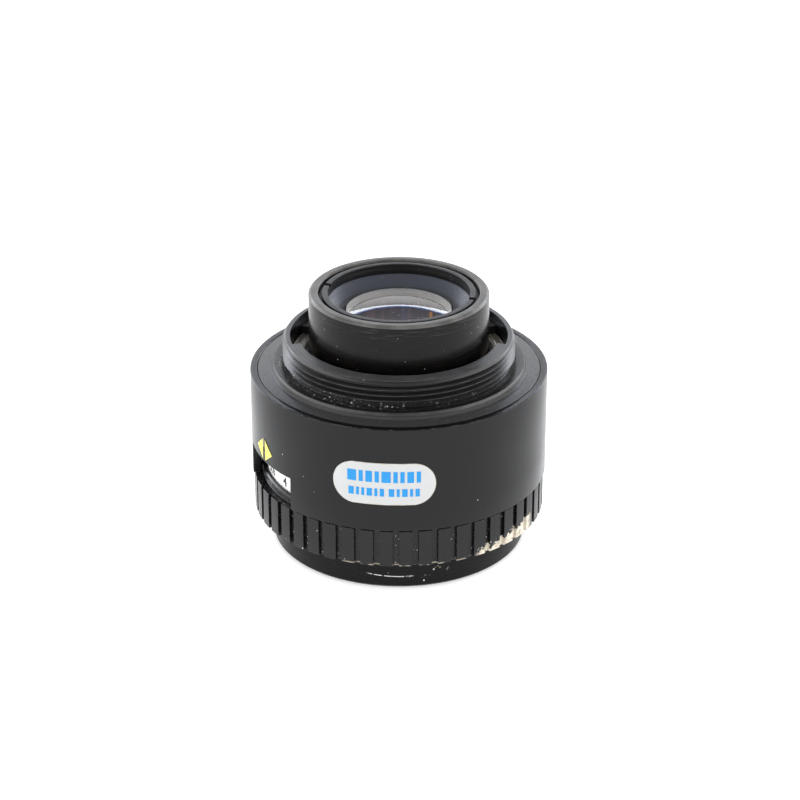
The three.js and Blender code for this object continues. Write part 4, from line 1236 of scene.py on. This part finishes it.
def surface(vertex, curve, start, end, steps=14):
    """Points of a spherical surface; a positive curve bulges towards the front."""
    radii = [start + (end - start) * i / steps for i in range(steps + 1)]
    return [(r, vertex + sag(curve, r)) for r in radii]


def lens_element(node, outline, finish):
    mesh = turned(outline, 0.0, closed=False, columns=FINE_COLUMNS)
    piece(node + "_glass", mesh, finish, node=node)


def glass_elements():
    """Each element from its two faces: where they cross the axis, their curves and their rims."""
    outside = coated_glass("coated_glass_dusty", True)
    inside = coated_glass("coated_glass_clean", False)
    front = [*surface(8.3, 26, 0, FRONT_RIM), *surface(*FRONT_BACK, FRONT_RIM, 0)]
    lens_element("front_element", front, outside)
    rim = 10
    joint = 18
    lens_element("front_doublet_outer", [*surface(13.2, 18, 0, rim), (rim, joint), (0, joint)], inside)
    hollow = surface(19, 13, 7.3, 0)
    joint += 0.05
    lens_element("front_doublet_inner", [(0, joint), (rim, joint), (rim, hollow[0][1]), *hollow], inside)
    rim = 9.8
    joint = 30.4
    back = surface(29.2, -13, 0, 7.5)
    lens_element("rear_doublet_inner", [*back, (rim, back[-1][1]), (rim, joint), (0, joint)], inside)
    joint += 0.05
    lens_element("rear_doublet_outer", [(0, joint), (rim, joint), *surface(36, -22, rim, 0)], inside)
    rim = 9.85
    neck = 9
    neck_low = RECESS_FLOOR - 0.9
    below = surface(37.1, 60, 0, rim)
    above = surface(42.35, -30, neck, 0, 20)
    rear = [*below, (rim, neck_low), (neck, neck_low + 0.8), *above]
    lens_element("rear_element", rear, bloomed_glass())
    edge_bore = 8.6
    edge_rim = 8.78
    edge_low = RECESS_FLOOR - 0.5
    edge_high = RECESS_FLOOR + 1.1
    edge = turned(box_outline(edge_bore, edge_rim, edge_low, edge_high), 0.03, columns=FINE_COLUMNS)
    piece("rear_element_ground_edge", edge, ground_edge())
    # a dark disc inside the rear glass: painted shade, with painted reflections, for the depth of the lens
    depth = turned(box_outline(0, edge_rim, edge_low - 0.1, edge_low - 0.01), 0, False)
    piece("rear_element_painted_depth", depth, painted_depth())


def cells():
    """The turned pieces between the glass elements."""
    def plain_ring(node, outline):
        ring = turned(outline, 0.05, columns=FINE_COLUMNS)
        piece(node + "_turned", ring, INSIDE_BLACK, node=node)

    low, high = span_of("front_cell")
    vertex, curve = FRONT_BACK
    glass_seat = vertex + sag(curve, FRONT_RIM) + 0.05
    lip = high - 0.7
    glass_bore = 11.4
    cell_bore = 10.1
    plain_ring("front_cell", [
        (glass_bore, low), (13.7, low), (13.7, high), (8.0, high), (8.0, lip),
        (cell_bore, lip), (cell_bore, glass_seat), (glass_bore, glass_seat),
    ])
    low, high = span_of("front_retaining_ring")
    bore, rim = 10.6, 11.3
    outline = [(10.9, low), (rim, low), (rim, high), (bore, high), (bore, low + 0.3)]
    plain_ring("front_retaining_ring", outline)
    for node, inner, outer in (("front_spacer", 9.3, 10.0), ("rear_spacer", 9.1, 9.8)):
        plain_ring(node, box_outline(inner, outer, *span_of(node)))


def iris_blades():
    """Five thin curved blades, each drawn wide open and swung about its pivot to where it stands."""
    finish = blackened_blade()
    pivot = 9.6
    bore, rim = 7.25, 8.8
    thin = 0.15
    sweep = 112
    first_level = bottom_of("iris_housing") + 0.6 + thin
    swing = math.radians(20.25 * 35.2 / 67.5)  # the ring's turn from wide open to rest, times the ratio
    for i in range(5):
        node = f"iris_blade_{i + 1}"
        low = first_level + 2 * thin * i
        mesh = arc_piece(box_outline(bore, rim, low, low + thin), 0, sweep, 0.0, 3)
        tab = bmesh.new()
        bmesh.ops.create_cone(
            tab, cap_ends=True, segments=32, radius1=0.9 * MM, radius2=0.9 * MM, depth=thin * MM,
            matrix=Matrix.Translation((pivot * MM, 0, (low + thin / 2) * MM)),
        )
        merged(mesh, tab)
        about = Matrix.Translation((pivot * MM, 0, 0))
        swung = about @ Matrix.Rotation(swing, 4, "Z") @ about.inverted()
        turn = Matrix.Rotation(math.radians(72 * i), 4, "Z") @ swung
        bmesh.ops.transform(mesh, matrix=turn, verts=mesh.verts[:])
        piece(node + "_leaf", mesh, finish, f"blade_{i + 1}", node)


def hidden_nodes():
    """Finishes for the pieces that keep the frame's own shape."""
    brass = turned_brass()
    steel = bright_steel()
    looks = {
        "main_barrel": INSIDE_BLACK, "iris_retainer": INSIDE_BLACK,
        "iris_housing": brass, "iris_cam_ring": brass,
        "click_ball": steel, "click_spring": steel, "iris_drive_arm": steel,
        "flange_screw_1": steel, "flange_screw_2": steel, "flange_screw_3": steel,
    }
    for node, finish in looks.items():
        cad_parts[node].material_slots[0].material = finish


# ---------------------------------------------------------------- studio


def studio_floor():
    """A pale floor that glows evenly, except under the lens and round its foot, where the glow fades out: a
    painted shade.
    """
    mesh = bmesh.new()
    bmesh.ops.create_grid(mesh, x_segments=1, y_segments=1, size=3.0)
    bmesh.ops.translate(mesh, verts=mesh.verts[:], vec=(0, 0, -0.00002))
    data = bpy.data.meshes.new("studio_floor")
    mesh.to_mesh(data)
    floor = bpy.data.objects.new("studio_floor", data)
    bpy.context.scene.collection.objects.link(floor)
    pale = bpy.data.materials.new("pale_floor")
    pale.use_nodes = True
    shader = pale.node_tree.nodes["Principled BSDF"]
    shader.inputs["Base Color"].default_value = (0.8, 0.8, 0.8, 1)
    shader.inputs["Roughness"].default_value = 0.9
    shader.inputs["Specular IOR Level"].default_value = 0.1
    shader.inputs["Emission Color"].default_value = (1, 1, 1, 1)
    glow = 0.62
    look = Patterns(pale.node_tree)
    place = look.node("ShaderNodeTexCoord").outputs["Object"]
    reach = look.node("ShaderNodeVectorMath", {"operation": "LENGTH"}, Vector=place).outputs["Value"]
    # painted shade: no glow under the lens, fading in round its foot
    look.feed(shader.inputs["Emission Strength"], look.rises(reach, 0.0195, 0.0225, 0.0, glow))
    data.materials.append(pale)


def studio_room():
    """White all round: bright low down, dimmer overhead, on the camera's side and far behind the
    lens, where there is a narrow bright strip with a blue edge."""
    world = bpy.data.worlds.new("white_studio")
    world.use_nodes = True
    bpy.context.scene.world = world
    room = Patterns(world.node_tree)
    way = room.node("ShaderNodeTexCoord").outputs["Generated"]
    parts = room.node("ShaderNodeSeparateXYZ", Vector=way)
    x, y, z = (parts.outputs[k] for k in "XYZ")
    camera_side = room.rises(y, -0.95, -0.35, 0.35, 1.0)
    horizon = room.rises(z, 0.4, 0.52, 3.9, 0.55)
    far_behind = room.rises(y, 0.35, 0.9, 1.0, 0.42)
    curl = 0.8  # the strip's lower side sinks towards its ends
    lowered = room.scaled(room.times(x, x), curl, z)
    strip = room.times(room.rises(lowered, 0.465, 0.48), room.rises(z, 0.49, 0.505, 1.0, 0.0))
    fringe = room.times(room.rises(z, 0.49, 0.5), room.rises(z, 0.51, 0.53, 1.0, 0.0))
    behind = room.rises(y, 0.4, 0.7)
    lights = [
        room.tinted(room.times(camera_side, horizon, far_behind), (1, 1, 1)),
        room.tinted(room.times(strip, behind), (5.4, 5.7, 6.1)),
        room.tinted(room.times(fringe, behind), (0.1, 0.45, 1.9)),
    ]
    background = world.node_tree.nodes["Background"]
    room.feed(background.inputs["Color"], room.added(room.added(lights[0], lights[1]), lights[2]))
    bpy.context.scene.view_settings.view_transform = "Standard"


def camera():
    """Stands before the lens and looks down on its middle."""
    middle = Vector((0, 0, 0.0242))
    distance = 0.4225
    elevation = math.radians(25.62)
    place = middle + distance * Vector((0, -math.cos(elevation), math.sin(elevation)))
    data = bpy.data.cameras.new("camera")
    data.lens = 112.2
    data.sensor_width = 36
    data.shift_x = 0.0014
    data.clip_start = 0.01
    made = bpy.data.objects.new("camera", data)
    made.location = place
    made.rotation_euler = (middle - place).to_track_quat("-Z", "Y").to_euler()
    bpy.context.scene.collection.objects.link(made)
    bpy.context.scene.camera = made


camera()
studio_floor()
studio_room()
front_ring()
ribbed_ring()
cover_shell()
label()
index_mark()
aperture_scale()
click_lever()
mount_flange()
light_guide()
light_guide_cap()
rear_barrel()
rear_baffle()
rear_retaining_ring()
glass_elements()
cells()
iris_blades()
hidden_nodes()
